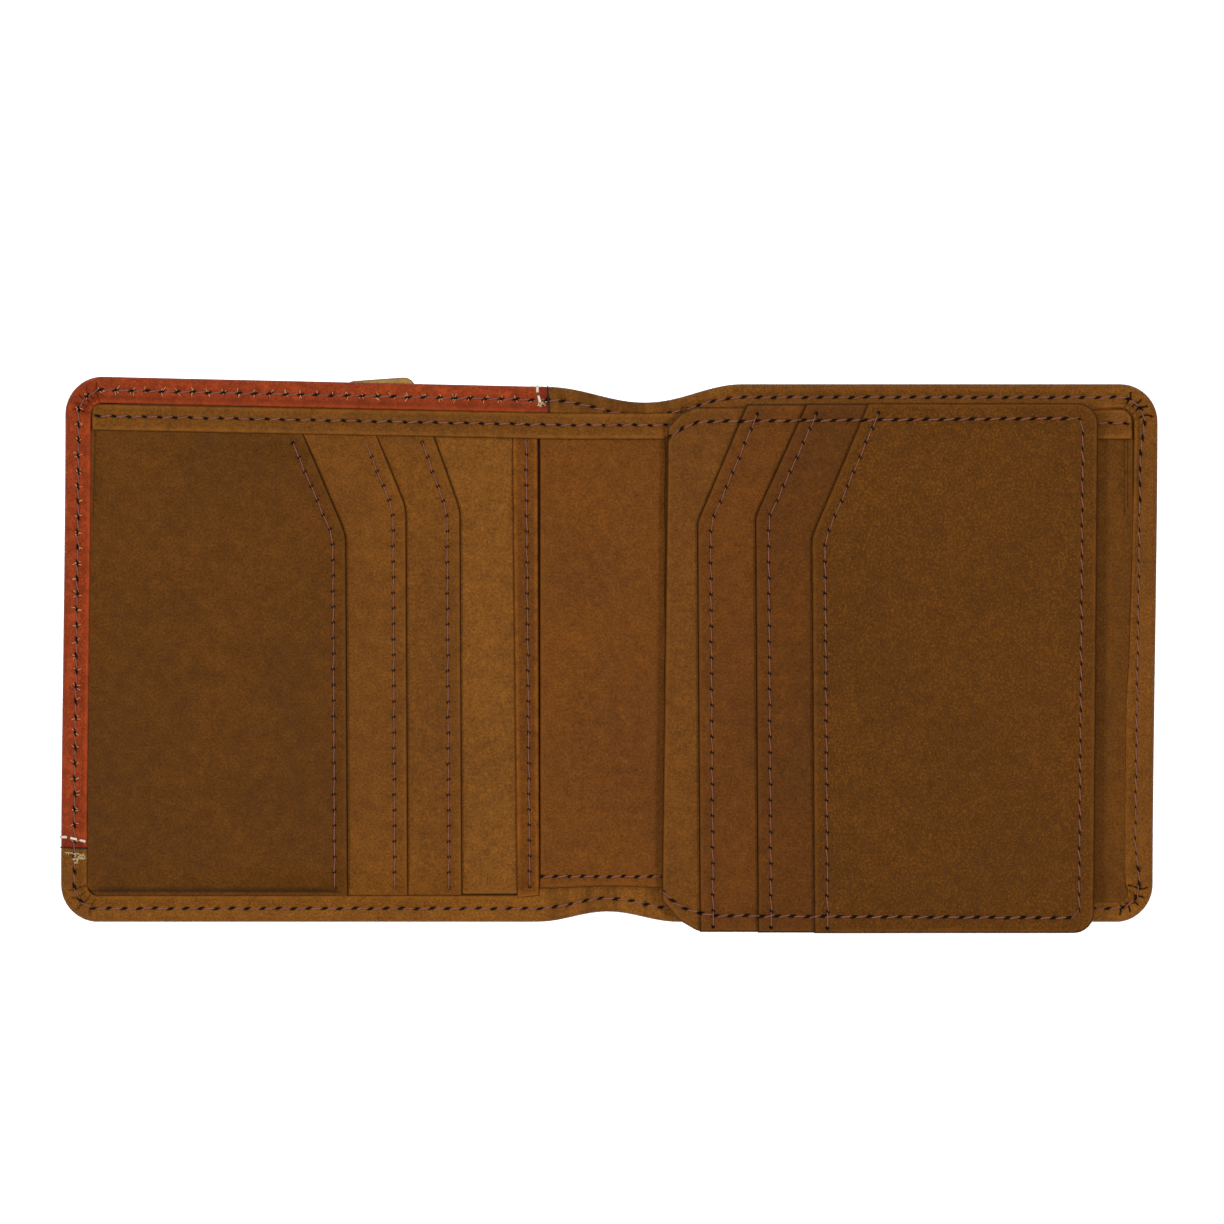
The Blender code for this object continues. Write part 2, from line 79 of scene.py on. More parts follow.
def box(node):
    low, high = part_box(node)
    return np.array(low) / MM, np.array(high) / MM


CREASES = [j["pos_m"][0] / MM for j in frame["joints"] if j["name"].startswith("crease")]
SPLITS = [(a + b) / 2 for a, b in zip(CREASES, CREASES[1:])]
BEND_REACH = 0.46 * (CREASES[0] - CREASES[1])
Zone = namedtuple("Zone", "name low high first second crease")
ZONES = [  # name, lowest x, highest x, body before the bend, body after it, crease
    Zone("right", SPLITS[0], FAR, "right_half", "spine_a", CREASES[0]),
    Zone("spine_a", SPLITS[1], SPLITS[0], "spine_a", "spine_b", CREASES[1]),
    Zone("spine_b", SPLITS[2], SPLITS[1], "spine_b", "spine_c", CREASES[2]),
    Zone("left", -FAR, SPLITS[2], "spine_c", "left_half", CREASES[3]),
]
ZONE_NODES = {"right": ["back"], "spine_a": [], "spine_b": ["spine"], "left": ["front"]}

COVER_LEFT, COVER_BOTTOM = box("cover_front_red")[0][0], box("cover_back")[0][1]
COVER_RIGHT, COVER_TOP = box("cover_back")[1][:2]
RED_BOTTOM = box("cover_front_red")[0][1]
RED_RIGHT = CREASES[3]
CORNER_RADIUS = 7.0
FLANGE = 5.0  # how wide the turned edge is
FLANGE_TOP = 3.14
FLANGE_HALF = 0.28  # half the thickness of the turned edge's leather
SEAM_INSET = 2.5
PITCH = 2.85
POCKET_PITCH = 2.9
TOPSTITCH = 1.9  # from the red panel's edges to its topstitch, and from stitch to stitch
LEATHER = 0.5
LINING_THICKNESS = 0.2
NO_EDGE = 5.0  # the edge mark of a vertex that is far from any cut edge
GROOVE_DEPTH, GROOVE_WIDTH = 0.16, 0.7  # where a seam's thread draws the leather in
HOLE_DEPTH = 0.4
PLEAT_DEPTH, PLEAT_WIDTH = 0.3, 0.17
LINE_DEPTH, LINE_WIDTH, LINE_SHADE_TONE = 0.15, 0.13, 0.32  # a panel's fine grooves, and the painted shade in them
EDGE_RINGS = (0.09, 0.22, 0.42, 0.8)  # how far in from a sheet's outline its mesh has rings of points
BINDING_DIP = (34, 40.3)  # y where the interior starts and ends its dip to the top binding

PAGE_LOW, PAGE_HIGH = box("page_base")
PANEL_LEFT, PANEL_BOTTOM = box("base_panel_front")[0][:2]
PANEL_RIGHT = box("base_panel_back")[1][0]
SPINE_LEFT = box("base_panel_front")[1][0]
SPINE_RIGHT = box("base_panel_back")[0][0]
PANEL_TOP = box("card_pocket_1")[1][1]


# Numbers


def smooth(t):
    t = np.clip(t, 0.0, 1.0)
    return t * t * (3 - 2 * t)


def ramp(value, start, end):
    return smooth((value - start) / (end - start))


def chance(k):
    """A fixed scatter from -1 to 1, one value for each number."""
    return 2 * ((math.sin(k * 12.9898) * 43758.5453) % 1.0) - 1


def waves(xy, scale, seed):
    """A soft undulation from -1 to 1, about scale mm from crest to crest."""
    made = np.zeros(len(xy))
    for k in range(5):
        turn = seed * 2.39 + k * 1.257
        along = xy[:, 0] * math.cos(turn) + xy[:, 1] * math.sin(turn)
        made += np.sin(along * 2 * math.pi / (scale * (0.7 + 0.17 * k)) + seed * 1.7 + k)
    return made / 5


def distance(xy, line):
    """Distance from each point to a polyline."""
    a, b = line[:-1], line[1:]
    span = b - a
    length = np.maximum((span**2).sum(1), 1e-12)
    offset = xy[:, None, :] - a[None]
    t = np.clip((offset * span).sum(2) / length, 0, 1)
    near = offset - t[..., None] * span
    return np.sqrt((near**2).sum(2).min(1))


def closed(line):
    return np.vstack([line, line[:1]])


def inside(xy, outline):
    a, b = outline, np.roll(outline, -1, 0)
    x, y = xy[:, 0, None], xy[:, 1, None]
    crosses = (a[:, 1] > y) != (b[:, 1] > y)
    rise = np.where(b[:, 1] == a[:, 1], 1e-12, b[:, 1] - a[:, 1])
    at = a[:, 0] + (y - a[:, 1]) / rise * (b[:, 0] - a[:, 0])
    return (crosses & (x < at)).sum(1) % 2 == 1


def densify(line, step):
    made = []
    for a, b in zip(line[:-1], line[1:]):
        count = max(1, int(math.ceil(np.linalg.norm(b - a) / step - 1e-6)))
        made += [a + (b - a) * i / count for i in range(count)]
    return np.array(made + [line[-1]])


def offset_line(outline, amount):
    """A closed counter-clockwise outline moved inwards."""
    before, after = np.roll(outline, 1, 0), np.roll(outline, -1, 0)
    normals = []
    for a, b in ((before, outline), (outline, after)):
        d = b - a
        d = d / np.maximum(np.linalg.norm(d, axis=1, keepdims=True), 1e-9)
        normals.append(np.stack([-d[:, 1], d[:, 0]], 1))
    mean = normals[0] + normals[1]
    mean /= np.maximum((mean * normals[0]).sum(1, keepdims=True), 0.6)
    return outline + mean * amount

def counter_clockwise(outline):
    """An outline, turned round if it runs clockwise."""
    return outline if np.cross(outline, np.roll(outline, -1, 0)).sum() >= 0 else outline[::-1]


def bullnose(near, reach):
    """The height of a rounded edge: 0 at the edge, 1 at reach from it."""
    t = 1 - np.minimum(near / reach, 1)
    return np.sqrt(np.maximum(1 - t * t, 0))


def lengths_along(line):
    """How far along a line each of its points is."""
    return np.r_[0, np.cumsum(np.linalg.norm(np.diff(line, axis=0), axis=1))]


def points_at(line, lengths, at):
    """The points of a line at given lengths along it."""
    return np.stack([np.interp(at, lengths, line[:, k]) for k in range(line.shape[1])], 1)


def rounded(points, radii, step=0.5):
    """A polygon with its corners rounded."""
    made = []
    count = len(points)
    for i in range(count):
        before, here, after = (np.array(points[(i + k) % count], float) for k in (-1, 0, 1))
        radius = radii[i]
        if radius <= 0:
            made.append(here)
            continue
        u = (before - here) / np.linalg.norm(before - here)
        v = (after - here) / np.linalg.norm(after - here)
        half = math.acos(max(-1, min(1, float(u @ v)))) / 2
        cut = radius / math.tan(half)
        start, end = here + u * cut, here + v * cut
        middle = here + (u + v) / np.linalg.norm(u + v) * radius / math.sin(half)
        steps = max(2, int(radius * (math.pi - 2 * half) / step))
        for k in range(steps + 1):
            t = k / steps
            p = start * (1 - t) + end * t - middle
            made.append(middle + p / np.linalg.norm(p) * radius)
    return np.array(made)


# Seams


class Seam:
    """A row of needle holes along a route, with the slit that each makes."""

    def __init__(self, route, pitch=PITCH, slit=0.3, width=0.22, tilt=0.0):
        self.route = np.array(route, float)
        lengths = lengths_along(self.route)
        count = max(2, int(round(lengths[-1] / pitch)) + 1)
        at = np.linspace(0, lengths[-1], count)
        along = points_at(self.route, lengths, at + 0.3) - points_at(self.route, lengths, at - 0.3)
        self.along = along / np.linalg.norm(along, axis=1, keepdims=True)
        self.across = np.stack([-self.along[:, 1], self.along[:, 0]], 1)
        wander = np.sin(np.arange(count) * 2.4) * 0.06
        self.holes = points_at(self.route, lengths, at) + self.across * wander[:, None]
        c, s = math.cos(tilt), math.sin(tilt)
        self.slit_along = self.along * c + self.across * s
        self.slit_across = self.across * c - self.along * s
        self.slit, self.width, self.size = slit, width, np.ones(count)

    def darkness(self, xy):
        """1 in the middle of a hole, 0 away from it."""
        offset = xy[:, None, :] - self.holes
        u = (offset * self.slit_along).sum(2) / ((self.slit / 2 + 0.2) * self.size)
        v = (offset * self.slit_across).sum(2) / (self.width * self.size)
        return np.exp(-np.minimum(u * u + v * v, 30)).max(1)

    def sink(self, xy):
        near = distance(xy, self.route)
        return GROOVE_DEPTH * np.exp(-((near / GROOVE_WIDTH) ** 2)) + HOLE_DEPTH * self.darkness(xy)

    def points(self):
        """Where a sheet's mesh needs vertices for the holes and the groove."""
        made = [self.holes]
        for steps, u, v in ((6, self.slit / 2 + 0.14, 0.2), (8, self.slit / 2 + 0.42, 0.48)):
            for k in range(steps):
                turn = 2 * math.pi * (k + 0.5) / steps
                place = self.holes + self.slit_along * u * math.cos(turn)
                made.append(place + self.slit_across * v * math.sin(turn))
        middle = (self.holes[:-1] + self.holes[1:]) / 2
        for side in (-0.55, 0.0, 0.55):
            made.append(middle + self.across[:-1] * side)
        return np.vstack(made)

    def near(self, outline):
        """The part of the seam that an outline can reach."""
        low, high = outline.min(0) - 1, outline.max(0) + 1
        chosen = ((self.holes > low) & (self.holes < high)).all(1)
        part = copy.copy(self)
        for label in ("holes", "along", "across", "slit_along", "slit_across", "size"):
            setattr(part, label, getattr(self, label)[chosen])
        return part


# Meshes


class Shape:
    """Collects vertices, faces and the marks that the materials read, in millimetres."""

    def __init__(self):
        self.points, self.faces, self.marks = [], [], []

    def add(self, points, faces, mark=(0.0, NO_EDGE)):
        start = sum(len(p) for p in self.points)
        points = np.asarray(points, float)
        self.points.append(points)
        self.faces += [tuple(start + i for i in f) for f in faces]
        self.marks.append(np.broadcast_to(mark, (len(points), 2)))

    def loft(self, rings, edge=NO_EDGE):
        """Bands between rings with equal numbers of points, not closed along the rings."""
        count = len(rings[0])
        starts = [r * count + i for r in range(len(rings) - 1) for i in range(count - 1)]
        self.add(np.vstack(rings), [(a, a + 1, a + count + 1, a + count) for a in starts], (0.0, edge))

    def tube(self, rings):
        """A closed skin over rings of points, with a cap at each end."""
        count, sides = rings.shape[:2]
        quads = [(r * sides + k, r * sides + (k + 1) % sides) for r in range(count - 1) for k in range(sides)]
        faces = [(a, b, b + sides, a + sides) for a, b in quads]
        caps = [tuple(range(sides))[::-1], tuple((count - 1) * sides + k for k in range(sides))]
        self.add(rings.reshape(-1, 3), faces + caps)

    def build(self, name, material, weld=True):
        mesh = bpy.data.meshes.new(name)
        points = np.vstack(self.points)
        mesh.from_pydata((points * MM).tolist(), [], self.faces)
        flat = mesh.attributes.new("flat", "FLOAT_VECTOR", "POINT")
        flat.data.foreach_set("vector", points.astype(np.float32).ravel())
        marks = np.vstack(self.marks)
        # hole: the painted shade in needle holes, grooves and pleats; edge: the distance from a cut edge
        for k, label in enumerate(("hole", "edge")):
            mark = mesh.attributes.new(label, "FLOAT", "POINT")
            mark.data.foreach_set("value", marks[:, k].astype(np.float32))
        if weld:
            work = bmesh.new()
            work.from_mesh(mesh)
            bmesh.ops.remove_doubles(work, verts=work.verts, dist=0.004 * MM)
            bmesh.ops.delete(work, geom=[v for v in work.verts if not v.link_faces], context="VERTS")
            work.to_mesh(mesh)
            work.free()
        mesh.shade_smooth()
        thing = bpy.data.objects.new(name, mesh)
        bpy.context.scene.collection.objects.link(thing)
        mesh.materials.append(material)
        return thing


def fill(outline, extra, spacing, margin=0.9):
    """Triangles over an outline: rings near its edge, the extra points, and an even grid between."""
    edge = closed(outline)
    rings = []
    for amount in EDGE_RINGS:
        ring = offset_line(outline, amount)
        near = distance(ring, edge)
        rings.append(ring[(near > 0.85 * amount) & inside(ring, outline)])
    low, high = outline.min(0), outline.max(0)
    xs = np.arange(low[0], high[0] + spacing, spacing)
    ys = np.arange(low[1], high[1] + spacing, spacing * 0.87)
    grid = np.array([(x + (j % 2) * spacing / 2, y) for j, y in enumerate(ys) for x in xs])
    grid = grid[inside(grid, outline)]
    grid = grid[distance(grid, edge) > margin + 0.3 * spacing]
    extra = extra[inside(extra, outline)]
    extra = extra[distance(extra, edge) > 0.12]

    def cell(p):
        return int(p[0] // 1.0), int(p[1] // 1.0)

    cells = {}
    for p in extra:
        cells.setdefault(cell(p), []).append(p)

    def crowded(p):
        i, j = cell(p)
        around = [q for a in (-1, 0, 1) for b in (-1, 0, 1) for q in cells.get((i + a, j + b), [])]
        return any(abs(q[0] - p[0]) + abs(q[1] - p[1]) < 0.7 for q in around)

    grid = np.array([p for p in grid if not crowded(p)]).reshape(-1, 2)
    points = [Vector(p) for p in np.vstack([outline, *rings, extra, grid])]
    count = len(outline)
    edges = [(i, (i + 1) % count) for i in range(count)]
    verts, _, faces, *_ = delaunay_2d_cdt(points, edges, [], 1, 1e-5)
    return np.array([(v.x, v.y) for v in verts]), [tuple(f) for f in faces]


class Sheet:
    """A thin piece of leather or cloth: an outline, the height of its middle, its seams and its grooves."""

    def __init__(self, outline, level, thickness=LEATHER, seams=(), front=None, fold=0.0, step=0.9,
                 spacing=1.7, extra=(), grooves=(), near=None, reach=1.5):
        self.outline = counter_clockwise(densify(closed(np.array(outline, float)), step)[:-1])
        self.level, self.half, self.seams = level, thickness / 2, seams
        self.front, self.fold, self.spacing, self.reach = front, fold, spacing, reach
        self.grooves = [densify(np.array(line, float), 0.3) for line in grooves]
        beside = [line + [aside, 0] for line in self.grooves for aside in (-0.2, 0.0, 0.2)]
        self.extra = [np.zeros((0, 2)), *(seam.points() for seam in seams), *extra, *beside]
        self.near = near or (lambda xy: distance(xy, closed(self.outline)))

    def plump(self, xy):
        """How much the folded front edge stands proud of the rest."""
        if self.front is None:
            return np.zeros(len(xy))
        return self.fold * (1 - ramp(distance(xy, self.front), 1.5, 3.0))

    def groove(self, xy):
        """1 in the middle of a groove, 0 away from it."""
        marks = [np.exp(-((distance(xy, line) / LINE_WIDTH) ** 2)) for line in self.grooves]
        return np.max([np.zeros(len(xy)), *marks], 0)

    def profile(self, xy):
        return self.half * bullnose(self.near(xy), self.half * self.reach)

    def ground(self, xy):
        """The surface that a thread lies on: the top without its holes."""
        return self.level(xy) + self.plump(xy) + self.profile(xy)

    def shape(self):
        xy, faces = fill(self.outline, np.vstack(self.extra), self.spacing)
        near, top, dark = self.near(xy), self.ground(xy), np.zeros(len(xy))
        for seam in self.seams:
            dark = np.maximum(dark, seam.darkness(xy))
            top = top - seam.sink(xy)
        # the dark mark: painted shade in the needle holes and in the grooves
        mark = np.stack([np.maximum(dark, LINE_SHADE_TONE * self.groove(xy)), near], 1)
        under = self.level(xy) + np.where(near < 1e-4, self.plump(xy), -self.profile(xy))
        shape = Shape()
        shape.add(np.column_stack([xy, top - LINE_DEPTH * self.groove(xy)]), faces, mark)
        shape.add(np.column_stack([xy, under]), [f[::-1] for f in faces], mark)
        return shape


def stitch(shape, seam, ground, radius=0.13, slant=0.16, keep=None):
    """Two-ply stitches from hole to hole."""
    sides, steps, depth, lift = 8, 9, 0.34, 0.1
    turn = np.linspace(0, 2 * math.pi, sides, endpoint=False)
    t = np.linspace(0, 1, steps)
    hidden = seam.along * (seam.slit * 0.35 * seam.size)[:, None]
    for i, (a, b) in enumerate(zip(seam.holes[:-1] + hidden[:-1], seam.holes[1:] - hidden[1:])):
        if keep is not None and not keep((a + b) / 2):
            continue
        across = seam.across[i]
        lean_here = slant * (1 + 0.5 * math.sin(i * 1.9))
        line = a + (b - a) * t[:, None] + across * ((t - 0.5) * 2 * lean_here)[:, None]
        z = ground(line) - depth + (depth + lift) * np.sin(math.pi * t) ** 0.4
        twist = 3.2 * math.pi * t + i * 1.3
        swell = radius * (0.72 + 0.34 * np.abs(np.cos(turn[None, :] - twist[:, None])))
        side = np.cos(turn)[None, :] * swell
        up = np.sin(turn)[None, :] * swell * 0.9
        rings = np.zeros((steps, sides, 3))
        rings[..., :2] = line[:, None, :] + side[..., None] * across
        rings[..., 2] = z[:, None] + up
        shape.tube(rings)


def bead(shape, path, radius, sides=6):
    """A round bead along a path of (x, y, z) points."""
    path = np.array(path, float)
    ahead = np.gradient(path, axis=0)
    ahead /= np.maximum(np.linalg.norm(ahead, axis=1, keepdims=True), 1e-9)
    side = np.cross(ahead, [0.0, 0.0, 1.0])
    weak = np.linalg.norm(side, axis=1) < 0.3
    side[weak] = np.cross(ahead[weak], [0.31, 0.95, 0.0])
    side /= np.linalg.norm(side, axis=1, keepdims=True)
    for i in range(1, len(side)):
        if side[i] @ side[i - 1] < 0:
            side[i] *= -1
    up = np.cross(side, ahead)
    turn = np.linspace(0, 2 * math.pi, sides, endpoint=False)
    shape.tube(path[:, None] + radius * (
        np.cos(turn)[None, :, None] * side[:, None] + np.sin(turn)[None, :, None] * up[:, None]
    ))


# Materials


class Nodes:
    """Short ways to add and link shader nodes."""

    def __init__(self, name):
        self.material = bpy.data.materials.new(name)
        self.material.use_nodes = True
        self.tree = self.material.node_tree
        self.shader = self.tree.nodes["Principled BSDF"]

    def put(self, inputs, values):
        for label, value in values.items():
            if isinstance(value, bpy.types.NodeSocket):
                self.tree.links.new(value, inputs[label])
            elif value is not None:
                inputs[label].default_value = value

    def make(self, kind, output, inputs=(), **settings):
        """One output of a new node with the given inputs and settings."""
        node = self.tree.nodes.new("ShaderNode" + kind)
        for label, value in settings.items():
            setattr(node, label, value)
        self.put(node.inputs, dict(inputs))
        return node.outputs[output]

    def attribute(self, name, output):
        return self.make("Attribute", output, attribute_name=name)

    def stretched(self, vector, scale):
        return self.make("Mapping", 0, {"Vector": vector, "Scale": scale})

    def noise(self, vector, scale, detail=3.0, roughness=0.5, distortion=0.0, output="Fac"):
        looks = {"Scale": scale, "Detail": detail, "Roughness": roughness, "Distortion": distortion}
        return self.make("TexNoise", output, {"Vector": vector, **looks})

    def cells(self, vector, scale):
        return self.make("TexVoronoi", "Distance", {"Vector": vector, "Scale": scale})

    def math(self, kind, a, b=0.0):
        return self.make("Math", 0, {0: a, 1: b}, operation=kind)

    def times(self, a, b):
        return self.math("MULTIPLY", a, b)

    def span(self, value, low=0.3, high=0.7, to_low=0.0, to_high=1.0):
        ends = {"From Min": low, "From Max": high, "To Min": to_low, "To Max": to_high}
        return self.make("MapRange", 0, {"Value": value, **ends})

    def mix(self, share, a, b, kind="MIX"):
        a, b = ((*c, 1.0) if isinstance(c, tuple) else c for c in (a, b))
        return self.make("Mix", 2, {0: share, 6: a, 7: b}, data_type="RGBA", blend_type=kind)

    def tint(self, tone, colour):
        return self.mix(1.0, tone, colour, "MULTIPLY")

    def split(self, vector):
        node = self.tree.nodes.new("ShaderNodeSeparateXYZ")
        self.put(node.inputs, {0: vector})
        return node.outputs["X"], node.outputs["Y"]

    def bump(self, height, strength, depth, normal=None):
        looks = {"Strength": strength, "Distance": depth, "Height": height, "Normal": normal}
        return self.make("Bump", 0, looks)

    def done(self, colour, roughness, normal, specular=0.15, sheen=0.0):
        self.put(self.shader.inputs, {
            "Base Color": colour, "Roughness": roughness, "Normal": normal,
            "Specular IOR Level": specular, "Sheen Weight": sheen,
        })
        return self.material


def scaled(colour, factor):
    return tuple(min(1.0, c * factor) for c in colour)


def leather(name, colour, shade=0.86, glow=1.12, pebble=0.35, seed=0.0, rim=1.25, cut=0.5,
            red=False, foot=1.0):
    """Waxed leather: clouds of tone, a nap, a fine grain of cells, edges lighter from wear and a painted
    highlight, a dark line at cut edges of edge paint and painted shadow, and needle holes and grooves painted
    dark as shade.
    """
    n = Nodes(name)
    flat = n.attribute("flat", "Vector")
    x, y = n.split(flat)
    edge, hole = n.attribute("edge", "Fac"), n.attribute("hole", "Fac")
    aside = (seed * 31.7, seed * 17.3, seed * 5.1)
    place = n.make("VectorMath", 0, {0: flat, 1: aside}, operation="ADD")
    clouds = n.noise(place, 0.04, 3.0, 0.55, 0.4)
    patches = n.noise(place, 0.45, 4.0, 0.6)
    nap = n.noise(place, 2.6, 3.0, 0.8)
    warp = n.noise(place, 0.9, 2.0, output="Color")
    cells = n.cells(n.mix(0.12, n.stretched(place, (1.0, 0.8, 1.0)), warp), 2.3)
    valley = n.span(cells, 0.2, 0.7)
    tone = n.mix(n.span(clouds), scaled(colour, shade), scaled(colour, glow))
    tone = n.tint(tone, n.mix(n.span(patches), (0.84, 0.83, 0.81), (1.16, 1.17, 1.19)))
    tone = n.tint(tone, n.mix(n.span(nap), (0.54, 0.52, 0.48), (1.46, 1.49, 1.54)))
    tone = n.mix(n.times(valley, 0.34 * pebble), tone, scaled(colour, 0.35))
    if foot != 1.0:  # painted shade in the spine's folds, and a lighter band along the foot
        folds = n.noise(n.stretched(place, (1.0, 0.12, 1.0)), 0.3, 2.0, 0.6)
        fold_shade = n.times(n.span(n.math("ABSOLUTE", x), 15.0, 9.0), n.span(folds, 0.42, 0.6))
        tone = n.mix(n.times(fold_shade, 0.6), tone, scaled(colour, 0.4))
        tone = n.mix(n.span(y, -42.5, -46.0), tone, n.tint(tone, (foot, foot * 1.02, foot)))
    if red:  # stains, a painted shine, painted shade along the inner edge of the top turned edge, and the darker strips outside the topstitch
        stain = n.times(n.span(n.noise(place, 0.22, 4.0, 0.65, 0.6), 0.45, 0.62), 0.4)
        tone = n.mix(stain, tone, scaled(colour, 0.5))
        painted_shine = n.times(n.span(n.noise(place, 0.5, 4.0, 0.6), 0.52, 0.68), 0.5)
        tone = n.mix(painted_shine, tone, scaled(colour, 1.6))
        # painted shade: the top turned edge is darker along its inner edge, by the binding
        inner = n.times(n.span(edge, 2.0, 1.3), n.span(y, 43.0, 45.0))
        tone = n.mix(n.times(inner, 0.45), tone, scaled(colour, 0.4))
        low = n.span(y, RED_BOTTOM + 2.0, RED_BOTTOM + 1.6)
        end = n.span(x, RED_RIGHT - 1.7, RED_RIGHT - 1.3)
        tone = n.mix(n.times(n.math("MAXIMUM", low, end), 0.6), tone, (0.095, 0.008, 0.004))
    # lighter towards cut edges: partly wear, partly a painted highlight along the edge
    worn = n.times(n.span(edge, 1.0, 0.3), n.span(patches, 0.25, 0.6))
    tone = n.mix(n.times(worn, 0.8), tone, scaled(colour, rim))
    # a dark line along cut edges: edge paint, strengthened as the painted shadow beside the edge
    tone = n.mix(n.times(n.span(edge, 0.4, 0.12), cut), tone, scaled(colour, 0.12))
    # needle holes, grooves and pleats painted near black as the shade in them
    tone = n.mix(n.span(hole, 0.1, 0.45), tone, (0.003, 0.0015, 0.001))
    rough = n.span(n.math("ADD", nap, clouds), 0.6, 1.4, 0.5, 0.72)
    normal = n.bump(valley, min(1.0, pebble), -0.12 * MM, n.bump(nap, 0.6, 0.06 * MM))
    return n.done(tone, rough, n.bump(patches, 0.5, 0.16 * MM, normal), 0.04)


def thread_material(name, colour, dark):
    """Twisted thread, with dark gaps between its fibres."""
    n = Nodes(name)
    flat = n.attribute("flat", "Vector")
    fibres = n.noise(n.stretched(flat, (1.0, 1.0, 2.0)), 7.0, 3.0, 0.7)
    slow = n.noise(flat, 0.6, 2.0, 0.5)
    tone = n.mix(n.span(fibres), dark, colour)
    tone = n.mix(n.span(slow, 0.35, 0.65, 0.0, 0.35), tone, scaled(dark, 0.8))
    rough = n.span(fibres, 0.3, 0.7, 0.85, 0.65)
    return n.done(tone, rough, n.bump(fibres, 0.7, 0.05 * MM), 0.1, 0.05)


def fabric(name, colour):
    """A plain woven lining."""
    n = Nodes(name)
    flat = n.attribute("flat", "Vector")
    across, down = (n.math("ABSOLUTE", n.math("SINE", n.times(value, 8.0))) for value in n.split(flat))
    weave = n.times(across, down)
    worn = n.noise(flat, 0.2, 3.0, 0.6)
    tone = n.mix(weave, scaled(colour, 0.6), scaled(colour, 1.3))
    tone = n.mix(n.span(worn, 0.3, 0.7, 0.0, 0.4), tone, scaled(colour, 0.8))
    return n.done(tone, n.span(worn, 0.3, 0.7, 0.8, 0.95), n.bump(weave, 0.6, 0.08 * MM))


def card(name, colour):
    """Pressed fibre board."""
    n = Nodes(name)
    place = n.make("TexCoord", "Object")
    fibres = n.noise(n.stretched(place, (1.0, 3.0, 1.0)), 900.0, 3.0, 0.6)
    tone = n.mix(fibres, scaled(colour, 0.8), scaled(colour, 1.1))
    return n.done(tone, n.span(fibres, 0.3, 0.7, 0.8, 0.95), n.bump(fibres, 0.4, 0.03 * MM))


def plain(name, colour):
    """Edge paint."""
    n = Nodes(name)
    flat = n.attribute("flat", "Vector")
    dust = n.noise(flat, 2.5, 3.0, 0.6)
    tone = n.mix(n.span(dust), scaled(colour, 0.75), scaled(colour, 1.25))
    rough = n.span(dust, 0.3, 0.7, 0.55, 0.7)
    return n.done(tone, rough, n.bump(dust, 0.4, 0.04 * MM))


# Linear colours
BROWN = (0.101, 0.0345, 0.0040)
POCKET = (0.096, 0.0322, 0.0035)
DARK = (0.069, 0.0228, 0.0020)
OLIVE = (0.116, 0.0406, 0.0048)
REDDISH = (0.0945, 0.0292, 0.0029)
RED = (0.179, 0.0262, 0.0056)
TAN = (0.23, 0.13, 0.038)

COVER_LEATHER = leather("cover_leather", scaled(BROWN, 1.14), seed=1, pebble=0.7, foot=1.2)
RED_LEATHER = leather("red_leather", RED, seed=2, pebble=0.6, rim=1.3, red=True)
POCKET_LEATHER = leather("pocket_leather", POCKET, seed=3, cut=0.9)
FRONT_POCKET_LEATHER = leather("front_pocket_leather", scaled(DARK, 0.95), seed=4, cut=0.9)
PANEL_LEATHER = leather("panel_leather", OLIVE, seed=5)
RIGHT_PANEL_LEATHER = leather("right_panel_leather", scaled(DARK, 1.07), seed=15)
PAGE_BASE_LEATHER = leather("page_base_leather", POCKET, seed=16, cut=0.7)
BINDING_LEATHER = leather("binding_leather", BROWN, seed=6, rim=1.5)
EDGE_LEATHER = leather("edge_binding_leather", REDDISH, seed=7, pebble=0.8, rim=1.9)
SPINE_LEATHER = leather("spine_leather", REDDISH, seed=8)
PAGE_LEATHER = leather("page_leather", POCKET, seed=9)
SLOT_LEATHERS = [
    leather("slot_leather_1", scaled(REDDISH, 0.84), seed=10, cut=0.9),
    leather("slot_leather_2", scaled(REDDISH, 0.69), seed=11, cut=0.9),
    leather("slot_leather_3", scaled(DARK, 1.21), seed=12, pebble=1.5, cut=0.8),
]
TAB_LEATHER = leather("tab_leather", TAN, seed=13)
# the hinge strip's leather, darkened to stand in as the painted shadow beside the page's left edge
HINGE_SHADOW_LEATHER = leather("hinge_leather", scaled(DARK, 0.6), seed=14)
MAUVE_THREAD = thread_material("mauve_thread", (0.22, 0.092, 0.067), (0.09, 0.030, 0.020))
WHITE_THREAD = thread_material("white_thread", (0.62, 0.56, 0.46), (0.36, 0.3, 0.22))
RAW_FIBRE = thread_material("raw_fibre", (0.46, 0.25, 0.11), (0.26, 0.11, 0.045))
LOOSE_THREAD = thread_material("loose_thread", (0.46, 0.36, 0.2), (0.26, 0.18, 0.08))
EDGE_PAINT = plain("edge_paint", (0.010, 0.006, 0.004))
LINING = fabric("lining", (0.045, 0.022, 0.011))
BOARD = card("board", (0.22, 0.19, 0.14))


# Bodies


def zone_polygons(outline):
    """An outline cut into the four zones of the spine."""
    for zone in ZONES:
        part = clip(clip(outline, zone.low, 1), zone.high, -1)
        if len(part) > 2:
            yield zone, part


def clip(outline, limit, side):
    """The part of an outline at one side of x = limit: the right (1) or the left (-1)."""
    made = []
    for a, b in zip(outline, np.roll(outline, -1, 0)):
        within = side * (a[0] - limit) >= 0
        if within:
            made.append(a)
        if within != (side * (b[0] - limit) >= 0):
            made.append(a + (b - a) * (limit - a[0]) / (b[0] - a[0]))
    return np.array(made).reshape(-1, 2)


def bend(thing, zone, slot, *nodes):
    """A piece of one zone: its transform baked into its mesh, and the CAD nodes that it stands for hidden."""
    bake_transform(thing)
    if nodes:
        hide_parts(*nodes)
    return thing


